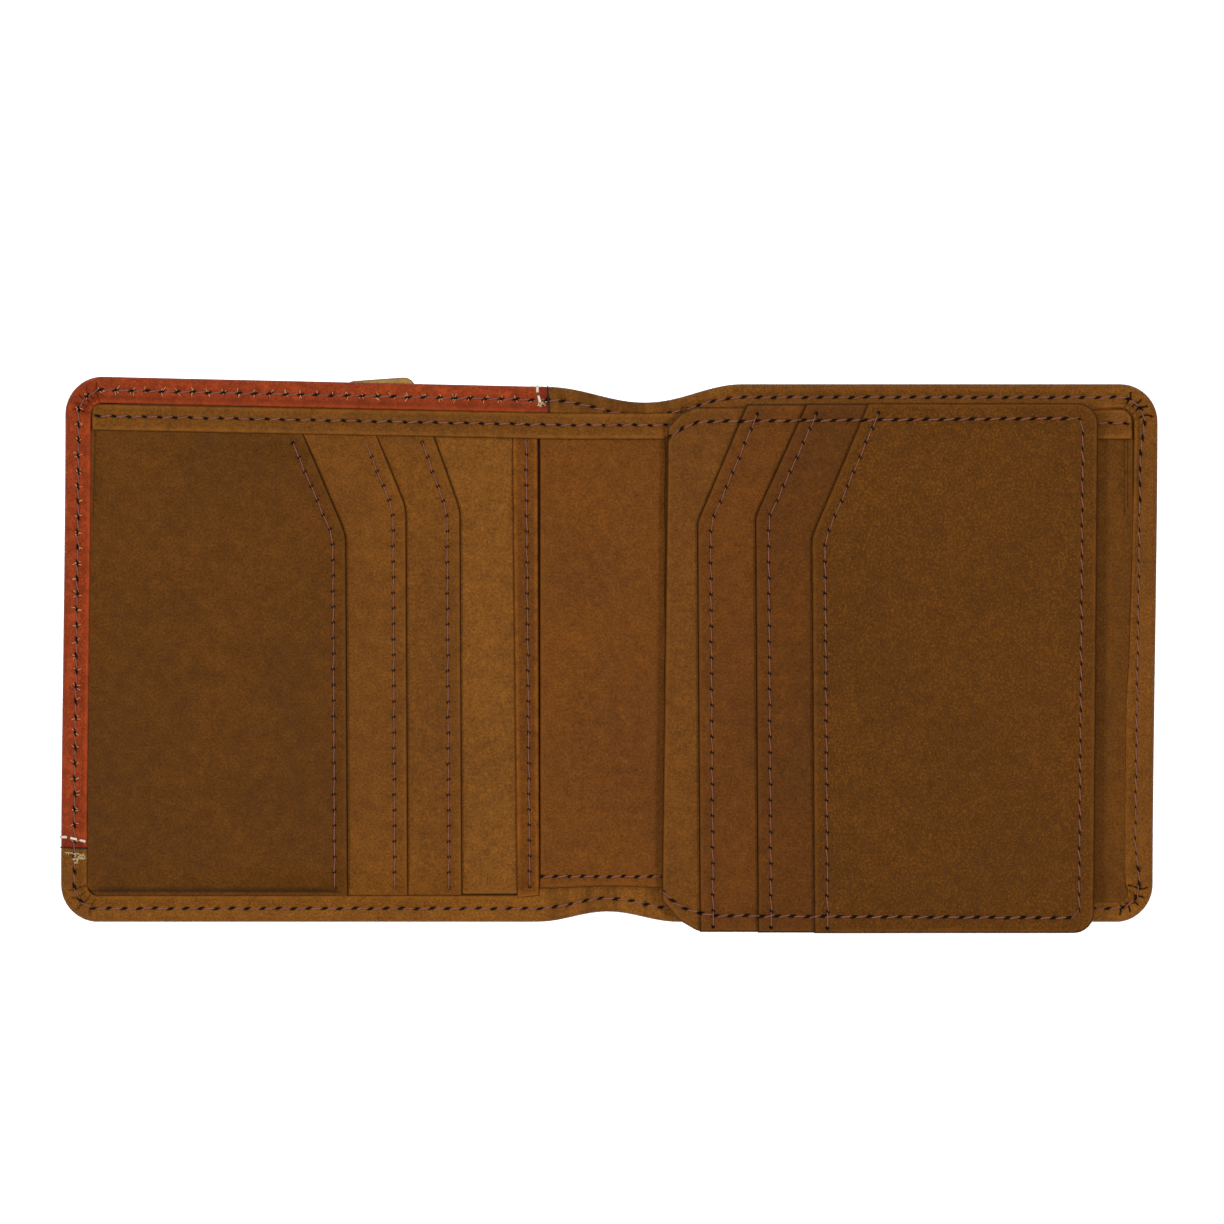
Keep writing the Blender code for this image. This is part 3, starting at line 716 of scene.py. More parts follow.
def ride(thing, body, slot, *nodes):
    """A piece that moves with one body."""
    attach(thing, body)
    if nodes:
        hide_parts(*nodes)
    return thing


def lay(sheet, name, material, body, slot, node):
    """A sheet that rides on one body."""
    ride(sheet.shape().build(name, material), body, slot, node)


def sew(seam, ground, name, body, node, **looks):
    """A seam's thread that rides on one body."""
    shape = Shape()
    stitch(shape, seam, ground, **looks)
    ride(shape.build(name, MAUVE_THREAD, weld=False), body, "mauve_thread", node)


def sew_zone(seam, ground, name, zone, nodes):
    """The stitches of a seam that lie in one zone of the spine."""
    shape = Shape()
    stitch(shape, seam, ground, keep=lambda p: zone.low < p[0] <= zone.high)
    if shape.faces:
        bend(shape.build(name + zone.name, MAUVE_THREAD, weld=False), zone, "mauve_thread", *nodes)


def zone_nodes(stem, zone):
    """The CAD nodes that a piece stands for in one zone."""
    return [f"{stem}_{end}" for end in ZONE_NODES[zone.name]]


# The cover: outer leather with its edge turned over to the inside


def top_edge(x):
    """The cover's upper edge: it rises to the left, and dips at the spine."""
    slope = COVER_TOP - 0.3 + 0.0226 * np.maximum(0, CREASES[3] - x) + 0.5 * ramp(x, 10, 25)
    return slope - 2.9 * dip(x, 6.5, 18)


def bottom_edge(x):
    """The cover's lower edge, drawn up at the spine."""
    return COVER_BOTTOM + 0.05 + 1.9 * dip(x, -0.3, 13)


def dip(x, centre, half):
    """1 at a centre, falling to 0 at half a width from it."""
    t = np.clip(np.abs(x - centre) / half, 0, 1)
    return (1 + np.cos(math.pi * t)) / 2


def lean(points):
    """The two sides aren't quite upright."""
    points = np.array(points, float)
    x, y = points[:, 0], points[:, 1]
    left = 0.8 * ramp(-x, 80, 100) * ramp(y, -45, 45)
    right = 0.9 * ramp(x, 80, 100) * ramp(-y, -45, 45)
    points[:, 0] = x + left - right
    return points


def stations(low, high, step, wanted):
    """Even values between two limits, with the wanted ones in place of those near them."""
    count = int(round((high - low) / step))
    even = np.linspace(low, high, count + 1)
    kept = [v for v in even if all(abs(v - w) > 0.35 * step for w in wanted)]
    return np.array(sorted(kept + [w for w in wanted if low < w < high]))


ACROSS = stations(COVER_LEFT + CORNER_RADIUS, COVER_RIGHT - CORNER_RADIUS, 1.0,
                  [*SPLITS, RED_RIGHT, RED_RIGHT - TOPSTITCH])
UPWARD = stations(COVER_BOTTOM + CORNER_RADIUS, COVER_TOP - CORNER_RADIUS, 1.1,
                  [RED_BOTTOM, RED_BOTTOM + TOPSTITCH])
ARC = np.radians(np.linspace(0, 90, 19)[1:-1])


def cover_line(inset):
    """The cover's outline moved inwards: the same number of points for every inset."""
    radius = CORNER_RADIUS - inset
    left, right = COVER_LEFT + CORNER_RADIUS, COVER_RIGHT - CORNER_RADIUS
    low, high = COVER_BOTTOM + CORNER_RADIUS, COVER_TOP - CORNER_RADIUS
    high_left = float(top_edge(left)) - CORNER_RADIUS
    high_right = float(top_edge(right)) - CORNER_RADIUS
    share = (UPWARD - low) / (high - low)
    right_side = low + share * (high_right - low)
    left_side = (UPWARD + share * (high_left - high))[::-1]
    parts = [
        (left - radius * np.cos(ARC), low - radius * np.sin(ARC)),
        (ACROSS, bottom_edge(ACROSS) + inset),
        (right + radius * np.sin(ARC), low - radius * np.cos(ARC)),
        (np.full(len(UPWARD), COVER_RIGHT - inset), right_side),
        (right + radius * np.cos(ARC), high_right + radius * np.sin(ARC)),
        (ACROSS[::-1], top_edge(ACROSS[::-1]) - inset),
        (left - radius * np.sin(ARC), high_left + radius * np.cos(ARC)),
        (np.full(len(UPWARD), COVER_LEFT + inset), left_side),
    ]
    return lean(np.vstack([np.stack(part, 1) for part in parts]))


RIM = cover_line(0.0)
STATION_COUNT = len(RIM)


def station(x=None, y=None, near=0):
    """The index of the station at x on the top (near 1) or bottom (near -1) edge, or at y on the left."""
    if x is not None:
        score = np.abs(RIM[:, 0] - x) + 1000 * (np.sign(RIM[:, 1]) != near) + 1000 * (np.abs(RIM[:, 1]) < 40)
    else:
        score = np.abs(RIM[:, 1] - y) + 1000 * (RIM[:, 0] > COVER_LEFT + 3)
    return int(np.argmin(score))


def run(start, end):
    """Station indices from start to end, counter-clockwise."""
    count = (end - start) % STATION_COUNT
    return [(start + i) % STATION_COUNT for i in range(count + 1)]


# The rim's section: how far in from the outline, and how high
RIM_PROFILE = [(1.7, 0.0), (1.0, 0.06), (0.5, 0.3), (0.16, 0.75), (0.0, 1.35), (0.03, 1.95), (0.24, 2.5),
               (0.6, 2.92), (1.1, FLANGE_TOP)]
RIM_MIDDLE, RIM_REACH = 1.35, 1.4
FLANGE_START = RIM_PROFILE[-1][0]
PLEATS = {  # corner: the angles of its pleats
    (-1, 1): (9, 24, 41, 58, 77), (1, 1): (12, 33, 49, 70),
    (-1, -1): (11, 30, 52, 74), (1, -1): (8, 27, 45, 62, 80),
}


def inner_width(xy):
    """How wide the turned edge is: wider at the spine's foot, narrower at two places on the right."""
    x, y = xy[:, 0], xy[:, 1]
    right = ramp(x, 88, 94)
    width = FLANGE + 2.0 * (y < -30) * ramp(np.abs(x), 17, 13) - 1.2 * ramp(-y, 43, 49) * ramp(x, 70, 88)
    return width + right * (0.4 * ramp(-y, 0, 10) * ramp(y, -45, -40) - 0.5 * ramp(y, -5, 30))


def flange_inner():
    """The turned edge's inner edge, at every station."""
    outer, inner = cover_line(FLANGE_START), cover_line(FLANGE)
    width = inner_width(outer)[:, None]
    return outer + (inner - outer) * (width - FLANGE_START) / (FLANGE - FLANGE_START)


def edge_inset(xy):
    return distance(xy, closed(RIM))


def soft_side(xy):
    """1 where the turned edge runs softly into the panel, on the right below the top binding."""
    return ramp(xy[:, 0], 90, 94) * ramp(xy[:, 1], 32, 24) * ramp(xy[:, 1], -46, -40)


def flange_level(xy):
    """The turned edge rises from its seam to its inner edge, where it lies over the panels."""
    inset = edge_inset(xy)
    spine = dip(xy[:, 0], 0, 26) ** 0.3 * (xy[:, 1] < 0)
    side = np.maximum(ramp(np.abs(xy[:, 0]), 92, 95), ramp(-xy[:, 1], 38, 41))
    lift = (0.1 + 0.85 * side) * (1 - spine) * (1 - 0.35 * soft_side(xy))
    level = FLANGE_TOP - FLANGE_HALF + lift * ramp(inset, 2.9, 4.8) - 0.1 * ramp(inset, 1.1, 2.2)
    return level + 0.06 * waves(xy, 14, 3)


def rim_ground(xy):
    """The surface of the turned edge, without its holes."""
    return flange_level(xy) + FLANGE_HALF


def pleats():
    """Radial tucks in the turned edge at the four corners, as lines of points."""
    lines = []
    for (sx, sy), angles in PLEATS.items():
        cx = (COVER_RIGHT if sx > 0 else -COVER_LEFT) - CORNER_RADIUS
        edge = top_edge(sx * cx) if sy > 0 else -bottom_edge(sx * cx)
        cy = float(edge) - CORNER_RADIUS
        for k, angle in enumerate(angles):
            a = math.radians(angle)
            radii = np.arange(2.3 + 0.5 * (k % 2), CORNER_RADIUS - FLANGE_START + 0.2, 0.3)
            swing = a + 0.05 * np.sin(radii * 1.7 + k)
            line = np.stack([sx * (cx + radii * np.cos(swing)), sy * (cy + radii * np.sin(swing))], 1)
            lines.append(lean(line))
    return lines


PLEAT_LINES = pleats()


def pleat_points():
    """Where the turned edge needs vertices for its pleats."""
    made = []
    for line in PLEAT_LINES:
        ahead = np.gradient(line, axis=0)
        side = np.stack([-ahead[:, 1], ahead[:, 0]], 1)
        side /= np.linalg.norm(side, axis=1, keepdims=True)
        made += [line, line + side * 0.22, line - side * 0.22]
    return np.vstack(made)


def pleat_weight(xy):
    """1 in a pleat, 0 away from it."""
    return np.max([np.exp(-((distance(xy, line) / PLEAT_WIDTH) ** 2)) for line in PLEAT_LINES], 0)


def rim_seam_route():
    """Round the turned edge, a little further in along the right side."""
    route = closed(cover_line(SEAM_INSET))
    x, y = route[:, 0], route[:, 1]
    route[:, 0] = x - 0.8 * ramp(x, 92, 97) * ramp(42 - np.abs(y), 0, 6)
    return route


RIM_SEAM = Seam(rim_seam_route(), PITCH, 1.0, 0.2, 0.2)
RIM_SEAM.size = 1 - 0.5 * ((RIM_SEAM.holes[:, 0] > 92) & (np.abs(RIM_SEAM.holes[:, 1] + 6) < 33))


def crease_rows():
    """Extra rows of vertices along the spine's creases."""
    xs = [crease + offset for crease in CREASES for offset in np.linspace(-BEND_REACH, BEND_REACH, 5)]
    return np.array([(x, y) for x in xs for y in np.arange(COVER_BOTTOM + 1, COVER_TOP - 1, 1.5)])


def cover_part(name, runs, corner_points, material):
    """A piece of the cover: rounded rim, turned edge with its holes, lip, and the outside face."""
    shape = Shape()
    for used in runs:
        rings = [np.insert(cover_line(inset)[used], 2, z, 1) for inset, z in RIM_PROFILE]
        outer, inner = cover_line(FLANGE_START)[used], flange_inner()[used]
        rings[-1][:, 2] = rim_ground(outer)
        shape.loft(rings)
        outline = np.vstack([outer, inner[::-1]])
        flange_top(shape, outline, inner, RIM_SEAM.near(outline))
        # the lip under the inner edge is marked as a cut edge, so it gets the dark edge line of edge paint
        # and painted shadow
        under = inner + (outer - inner) * 0.3
        level = flange_level(inner)
        shape.loft([np.column_stack([inner, level]), np.column_stack([under, level - 0.3])], 0.0)
    foot_line = cover_line(RIM_PROFILE[0][0])
    outside = np.vstack([foot_line[used] for used in runs] + [np.array(corner_points).reshape(-1, 2)])
    outside = densify(closed(outside), 3.0)[:-1]
    xy, faces = fill(outside, crease_rows(), 3.2)
    shape.add(np.column_stack([xy, np.zeros(len(xy))]), [f[::-1] for f in faces])
    return shape.build(name, material)


def flange_top(shape, outline, inner, seam):
    """The upper face of the turned edge, with its needle holes and pleats."""
    outline = counter_clockwise(densify(closed(outline), 1.4)[:-1])
    xy, faces = fill(outline, np.vstack([seam.points(), pleat_points()]), 1.1, 0.5)
    near = distance(xy, inner)
    fold = pleat_weight(xy)
    roll = FLANGE_HALF * bullnose(near, 0.42)
    z = flange_level(xy) + roll - seam.sink(xy) * (edge_inset(xy) > FLANGE_START + 0.01) - PLEAT_DEPTH * fold
    z = np.where(edge_inset(xy) < FLANGE_START + 0.02, rim_ground(xy), z)
    # pleats painted dark as the shade in their creases; the edge mark is pushed back where the edge runs
    # softly into the panel, so the painted edge line and highlight fade there
    dark = np.maximum(seam.darkness(xy), (0.34 + 0.26 * (xy[:, 0] > 0)) * fold)
    shape.add(np.column_stack([xy, z]), faces, np.stack([dark, near + 0.5 * soft_side(xy)], 1))


BOTTOM = [station(x=s, near=-1) for s in SPLITS]
TOP = [station(x=s, near=1) for s in SPLITS]
RED_TOP, RED_BASE = station(x=RED_RIGHT, near=1), station(x=RED_RIGHT, near=-1)
RED_SIDE = station(y=RED_BOTTOM)


def make_cover():
    """Six pieces: name, zone, stretches of the rim, and the CAD node each stands for."""
    for name, zone, spans, node in (
        ("back_leather", 0, [(BOTTOM[0], TOP[0])], "cover_back"),
        ("spine_leather_a", 1, [(BOTTOM[1], BOTTOM[0]), (TOP[0], TOP[1])], "cover_spine_a"),
        ("spine_leather_b", 2, [(BOTTOM[2], BOTTOM[1]), (TOP[1], TOP[2])], "cover_spine_b"),
        ("spine_leather_c", 3, [(RED_BASE, BOTTOM[2]), (TOP[2], RED_TOP)], "cover_spine_c"),
        ("red_leather", 3, [(RED_TOP, RED_SIDE)], "cover_front_red"),
        ("band_leather", 3, [(RED_SIDE, RED_BASE)], "cover_front_band"),
    ):
        red = name == "red_leather"
        corner = [(RED_RIGHT, RED_BOTTOM)] if node.startswith("cover_front") else []
        material = RED_LEATHER if red else COVER_LEATHER
        part = cover_part("cover_" + name, [run(*span) for span in spans], corner, material)
        bend(part, ZONES[zone], "orange_red_leather" if red else "brown_leather", node)


def over_rim(index, lift, first, slope):
    """From the turned edge, over the rim to the outside, at one station."""
    inner = flange_inner()[index]
    start = cover_line(FLANGE_START)[index]
    aside = np.array([1.0, 0.0]) if abs(start[1]) > abs(start[0]) * 0.5 + 20 else np.array([0.0, -1.0])
    flat = [inner + (start - inner) * t + aside * slope * (1 - t) for t in np.linspace(first, 1, 9)]
    path = [(*p, float(rim_ground(np.array([p]))[0]) + lift) for p in flat]
    for inset, z in RIM_PROFILE[-2::-1]:
        outward = max(0.0, 1 - abs(z - RIM_MIDDLE) / RIM_REACH)
        p = cover_line(inset - lift * outward)[index]
        path.append((*p, z + lift * (z - 1.5) / 1.5))
    return path


def red_border(lift, index_top, index_side, x, y, top, side):
    """A line on the red panel's edge: inside, over the rim, across the outside, and up over the rim."""
    first = over_rim(index_top, lift, *top)
    last = over_rim(index_side, lift, *side)[::-1]
    a, b = first[-1], last[0]
    down = [(x, t, -lift) for t in np.linspace(a[1] - 1, y, 40)]
    along = [(t, y, -lift) for t in np.linspace(x, b[0] + 1, 46)][1:]
    return np.array(first + down + along + last)


def make_red_border():
    shape = Shape()
    path = red_border(0.06, RED_TOP, RED_SIDE, RED_RIGHT, RED_BOTTOM, (0.02, 0.35), (0.02, 0.14))
    bead(shape, path, 0.15)
    part = shape.build("red_panel_edge_paint", EDGE_PAINT, weld=False)
    bend(part, ZONES[3], "orange_red_leather")
    x, y = RED_RIGHT - TOPSTITCH, RED_BOTTOM + TOPSTITCH
    path = red_border(0.1, station(x=x, near=1), station(y=y), x, y, (0.45, 1.1), (0.02, 0.9))
    lengths = lengths_along(path)
    ends = np.linspace(0, lengths[-1], int(round(lengths[-1] / TOPSTITCH)) + 1)
    gap = 0.32
    shape = Shape()
    for start, end in zip(ends, ends[1:]):
        bead(shape, points_at(path, lengths, np.linspace(start + gap, end - gap, 7)), 0.25)
    part = shape.build("red_panel_topstitch", WHITE_THREAD, weld=False)
    bend(part, ZONES[3], "white_thread", "panel_seam_side", "panel_seam_top")


def fibre(shape, start, tip, radius):
    """A loose end that stands up a little from the turned edge."""
    t = np.linspace(0, 1, 5)
    line = start + (tip - start) * t[:, None]
    z = rim_ground(line) + 0.12 * np.sin(math.pi * t * 0.8)
    bead(shape, np.column_stack([line, z]), radius, 5)


def tuft(shape, place, k):
    """A short bit of frayed thread, lying at an angle that k picks."""
    turn = math.pi * chance(k + 0.9)
    reach = np.array([math.cos(turn), 0.7 * math.sin(turn)]) * (0.28 + 0.12 * chance(k))
    fibre(shape, place - reach, place + reach, 0.09)


def make_loose_thread():
    """The frayed end of the topstitch, on the turned edge just below the red panel."""
    shape = Shape()
    for centre, spread, count in (
        ((COVER_LEFT + 3.5, RED_BOTTOM - 1.5), (1.0, 0.5), 30),
        ((COVER_LEFT + 1.7, RED_BOTTOM - 0.95), (0.5, 0.12), 6),
        ((COVER_LEFT + 2.9, RED_BOTTOM - 2.4), (0.45, 0.35), 9),
    ):
        for k in range(count):
            tuft(shape, np.array(centre) + np.array(spread) * (chance(k + 0.3), chance(k + 0.6)), k)
    for k in range(12):
        middle = np.array([RED_RIGHT - 1.0, float(top_edge(RED_RIGHT)) - 3.2])
        tuft(shape, middle + np.array([0.8, 0.4]) * (chance(k + 0.1), chance(k + 0.4)), k)
    part = shape.build("loose_topstitch_thread", LOOSE_THREAD, weld=False)
    bend(part, ZONES[3], "white_thread")


def make_rim_threads():
    for zone in ZONES:
        nodes = zone_nodes("edge_seam", zone)
        if zone.name == "spine_b":
            nodes = ["edge_seam_spine_bottom", "edge_seam_spine_top"]
        sew_zone(RIM_SEAM, rim_ground, "rim_thread_", zone, nodes)
    shape = Shape()
    for k, hole in enumerate(RIM_SEAM.holes):
        if hole[0] >= RED_RIGHT - 1 or hole[1] <= RED_BOTTOM + 1:
            continue
        along, across = RIM_SEAM.along[k], RIM_SEAM.across[k]
        for n, side in enumerate((-1, 1, -1, 1)):
            pick = k * 4.0 + n
            if chance(pick) >= -0.3:
                start = hole + across * side * 0.2 + along * 0.4 * chance(pick + 0.5)
                tip = start + across * side * (0.45 + 0.3 * chance(pick + 0.2))
                tip = tip + along * 0.5 * chance(pick + 0.7)
                fibre(shape, start, tip, 0.08)
    part = shape.build("red_hole_fibres", RAW_FIBRE, weld=False)
    bend(part, ZONES[3], "orange_red_leather")


# The interior


def rise(x):
    """The interior's top slopes up a little towards its left end."""
    return 1.7 * np.clip((-8 - x) / 88, 0, 1)


def tuck(xy, left, right):
    """How far a panel sinks where it goes under the turned edge."""
    x, y = xy[:, 0], xy[:, 1]
    down = 1 - ramp(y, PANEL_BOTTOM - 1.0, PANEL_BOTTOM + 5.0)
    if left:
        down = np.maximum(down, 1 - ramp(x, PANEL_LEFT - 1.0, PANEL_LEFT + 4.0))
    if right:
        down = np.maximum(down, ramp(x, PANEL_RIGHT - 3.0, PANEL_RIGHT + 1.0))
    return down


HIDDEN_CHAMFER = 2.6
BASE_TUCKED = 2.85


def panel_level(base, seed, right=False, left=True, tucked=BASE_TUCKED):
    """A panel at height base that dips under the turned edge and under the top binding."""

    def level(xy):
        z = base(xy) if callable(base) else np.full(len(xy), float(base))
        z = z + 0.1 * waves(xy, 31, seed)
        z = z + (tucked - z) * tuck(xy, left, right)
        z = z + (np.minimum(z, 3.95) - z) * ramp(xy[:, 1], *BINDING_DIP)
        return z + (2.9 - z) * ramp(xy[:, 1], PANEL_TOP + 1.0, PANEL_TOP + 4.0)

    return level


def pocket(node, body, slot, material, points, radius, rest, seam_ends, level, holes, slant, fold,
           grooves=(), crossing=None):
    """A pocket with a slanted front edge, the seam along that edge, and the seam that crosses it."""
    front = densify(rounded(points, [0, radius, 0]), 1.0)
    outline = np.vstack([front, rest])
    route = offset_line(outline, SEAM_INSET)[1 : len(front) - 1]
    route = route[(route[:, 1] > seam_ends[0]) & (route[:, 1] < seam_ends[1])]
    seam = Seam(route, POCKET_PITCH, *holes)
    seams = [seam, crossing.near(outline)] if crossing else [seam]
    sheet = Sheet(outline, level, seams=seams, front=front, fold=fold, grooves=grooves)
    lay(sheet, node + "_leather", material, body, slot, node)
    stem, number = node.rsplit("_", 1)
    sew(seam, sheet.ground, node + "_thread", body, f"{stem}_seam_{number}", radius=0.11, slant=slant)
    return sheet


# number: height, height under the turned edge, how far the front edge slants, material and slot
POCKETS = {
    3: (4.3, 3.05, (4.8, 13.5), POCKET_LEATHER, "brown_leather"),
    2: (4.85, 3.15, (5.3, 13.0), POCKET_LEATHER, "brown_leather"),
    1: (lambda xy: 4.3 + 1.25 * ramp(xy[:, 0], -78, -58), 3.4, (7.7, 18.0), FRONT_POCKET_LEATHER,
        "dark_brown_leather"),
}


def make_left_interior():
    top = PANEL_TOP + 1.6
    left, bottom = PANEL_LEFT - 1.1, PANEL_BOTTOM - 1.0
    outline = [(left + HIDDEN_CHAMFER, bottom), (SPINE_LEFT, bottom + 0.8), (SPINE_LEFT, top + 0.4),
               (left + 1.0, top + 3.5), (left, bottom + HIDDEN_CHAMFER)]
    base = Sheet(outline, panel_level(3.65, 1), spacing=2.2)
    lay(base, "base_panel_front_leather", PANEL_LEATHER, "left_half", "olive_tan_leather", "base_panel_front")
    foot = PANEL_BOTTOM + 0.45
    for number, (height, tucked, slant, material, slot) in POCKETS.items():
        low, high = box(f"card_pocket_{number}")
        side, turn = high[0], PANEL_TOP - slant[1]
        slope = slant[0] * (top - turn) / (PANEL_TOP - turn)
        hidden = left if number == 1 else low[0]
        # fine grooves near the front pocket's left edge and foot, painted dark as shade lines
        grooves = [[(PANEL_LEFT + 0.75, 25.5), (PANEL_LEFT + 1.15, 41.5)],
                   [(PANEL_LEFT + 0.6, foot), (side - 1.6, foot - 0.1)]]
        pocket(
            f"card_pocket_{number}", "left_half", slot, material,
            [(side + 0.35, bottom), (side, turn), (side - slope, top)], 9,
            [(hidden + 0.7, top), (hidden, bottom + HIDDEN_CHAMFER), (hidden + HIDDEN_CHAMFER, bottom)],
            (PANEL_BOTTOM + 0.8, PANEL_TOP - 0.4), panel_level(height, number + 1, tucked=tucked),
            holes=(0.14, 0.3), slant=-0.06, fold=0.22, grooves=grooves if number == 1 else (),
        )
    make_edge_binding(top, bottom)


def make_edge_binding(top, bottom):
    low, high = box("edge_binding_front")
    outline = [(low[0] + 0.9, bottom), (high[0] + 0.3, bottom + 0.5), (high[0], top), (low[0], top)]
    middle = (low[0] + high[0]) / 2
    route = [(middle + 0.9, PANEL_BOTTOM + 1.2), (middle + 0.2, PANEL_TOP - 0.4)]
    seam = Seam(route, POCKET_PITCH, 0.14, 0.28)
    sheet = Sheet(outline, panel_level(4.25, 6, tucked=POCKETS[2][1]), 0.6, [seam], step=0.8)
    lay(sheet, "edge_binding_leather", EDGE_LEATHER, "left_half", "reddish_brown_leather",
        "edge_binding_front")
    sew(seam, sheet.ground, "edge_binding_thread", "left_half", "edge_binding_seam", radius=0.11, slant=0.06)


def strip_level(xy):
    """The strip across the spine sags a little between the two halves."""
    sag = 0.35 * dip(xy[:, 0], -1, 11)
    head = np.maximum(ramp(xy[:, 1], *BINDING_DIP), ramp(-xy[:, 1], 36, 42))
    return 3.6 - sag * (1 - 0.7 * head) + 0.05 * waves(xy, 19, 4) + 0.2 * head


def make_centre():
    low, high = box("centre_strip")
    bottom, top = low[1] + 0.2, PANEL_TOP + 1.5
    outline = [(low[0], bottom - 0.1), (high[0], bottom), (high[0], top), (low[0], top)]
    outline = densify(closed(np.array(outline)), 1.0)[:-1]
    outline[:, 1] += np.where(outline[:, 1] < 0, 0.35 * dip(outline[:, 0], 0, 12), 0)
    hem = bottom + 2.1
    seam = Seam([(low[0] + 0.4, hem), (PAGE_LOW[0] - 0.7, hem)], 2.5, 0.8, 0.22, 0.2)
    front = np.array([(low[0], bottom), (high[0], bottom)])

    def near(xy):
        """Distance from the strip's own edges: none from the cuts between its zones."""
        foot = bottom - 0.1 + 0.35 * dip(xy[:, 0], 0, 12)
        gaps = [xy[:, 0] - low[0], high[0] - xy[:, 0], xy[:, 1] - foot]
        return np.maximum(np.min(gaps, 0), 0)

    for zone, part_outline in zone_polygons(outline):
        sheet = Sheet(part_outline, strip_level, 0.5, [seam.near(part_outline)], front, 0.16, step=1.1,
                      spacing=1.5, near=near)
        part = sheet.shape().build("centre_strip_leather_" + zone.name, SPINE_LEATHER)
        bend(part, zone, "reddish_brown_leather", "centre_strip")
        sew_zone(seam, sheet.ground, "centre_strip_thread_", zone, ["centre_strip_seam"])


def binding_low(x):
    """The lower edge of the top binding."""
    return PANEL_TOP - 0.5 + rise(x)


def binding_high(x):
    """Its upper edge, under the turned edge's brim."""
    return PANEL_TOP + 4.45 + rise(x) + 0.7 * ramp(x, 84, 92)


def binding_level(xy):
    """Over the panels at its lower edge, and down to the turned edge at its upper one."""
    low = binding_low(xy[:, 0])
    down = ramp(xy[:, 1], low + 0.6, low + 5.2)
    return 4.5 - 1.2 * down + 0.03 * waves(xy, 12, 8) - 0.12 * dip(xy[:, 0], -1, 13) * (1 - down)


def make_top_binding():
    """The strip along the interior's top edge, cut at the zones of the spine."""
    left, right = PANEL_LEFT + 0.5, PANEL_RIGHT + 0.5
    xs = np.linspace(left, right, 160)
    low_line = np.stack([xs, binding_low(xs)], 1)
    high_line = np.stack([xs, binding_high(xs)], 1)[::-1]
    high_line = high_line[(high_line[:, 0] < right - 2.2) & (high_line[:, 0] > left + 0.6)]
    corner = [(right, PANEL_TOP + 2.8), (right - 0.3, PANEL_TOP + 3.7), (right - 0.9, PANEL_TOP + 4.5),
              (right - 1.6, PANEL_TOP + 4.9)]
    outline = np.vstack([low_line, corner, high_line, [(left, PANEL_TOP + 5.4)]])
    middle = np.stack([xs, (binding_low(xs) + binding_high(xs)) / 2 + 0.2], 1)
    seam = Seam(middle[(xs > left + 0.7) & (xs < right - 0.7)], PITCH, 1.15, 0.2, -0.2)

    def near(xy):
        x, y = xy[:, 0], xy[:, 1]
        gaps = [y - binding_low(x), binding_high(x) - y, x - left, right - x]
        return np.maximum(np.min(gaps, 0), 0)

    for zone, part_outline in zone_polygons(outline):
        sheet = Sheet(part_outline, binding_level, 0.4, [seam.near(part_outline)], spacing=1.4, step=1.2,
                      near=near, reach=1.6)
        part = sheet.shape().build("top_binding_leather_" + zone.name, BINDING_LEATHER)
        bend(part, zone, "olive_tan_leather", *zone_nodes("top_binding", zone))
        sew_zone(seam, sheet.ground, "top_binding_thread_", zone, zone_nodes("top_binding_seam", zone))


def make_right_interior():
    top = PANEL_TOP + 5.6
    right, bottom = PANEL_RIGHT + 1.0, PANEL_BOTTOM - 2.0
    outline = [(SPINE_RIGHT, bottom + 1.8), (60, bottom + 1.0), (right, bottom), (right, top),
               (SPINE_RIGHT, top)]
    # fine grooves at the layers' edges near the right side, painted dark as shade lines
    grooves = [[(PANEL_RIGHT - 0.9, 25.5), (PANEL_RIGHT - 0.9, 41.0)],
               [(PANEL_RIGHT - 0.3, 27.0), (PANEL_RIGHT - 0.3, 41.0)]]
    sheet = Sheet(outline, panel_level(3.65, 9, right=True, left=False), spacing=2.2, grooves=grooves)
    lay(sheet, "base_panel_back_leather", RIGHT_PANEL_LEATHER, "right_half", "olive_tan_leather",
        "base_panel_back")


# The flip page


def pressed(xy):
    """How much the page is pressed down by its edge seam."""
    near = np.minimum(np.minimum(PAGE_HIGH[0] - xy[:, 0], xy[:, 1] - PAGE_LOW[1]), PAGE_HIGH[1] - xy[:, 1])
    return 0.3 * (1 - ramp(near, 1.0, 8.0))


def page_level(height, seed, slope=None):
    """A leather of the page, pressed down at its edge; slope is a drop and the x where it starts and ends."""
    def level(xy):
        z = np.full(len(xy), height) + 0.09 * waves(xy, 33, seed)
        if slope:
            z -= slope[0] * ramp(xy[:, 0], *slope[1:])
        return z - pressed(xy)

    return level


def page_outline(grow=0.0):
    left, right = PAGE_LOW[0], PAGE_HIGH[0] + grow
    bottom, top = PAGE_LOW[1] - grow, PAGE_HIGH[1] + grow
    corners = [(left - 1.1, bottom + 5.8), (left + 2.0, bottom + 2.1), (left + 5.6, bottom),
               (right - 0.8, bottom), (right, top), (left + 5.0, top - 0.5), (left + 2.2, top - 1.8),
               (left, top - 4.2)]
    return rounded(corners, [1.2, 2.5, 3.0, 3.8, 3.8, 3.0, 2.5, 0.8])


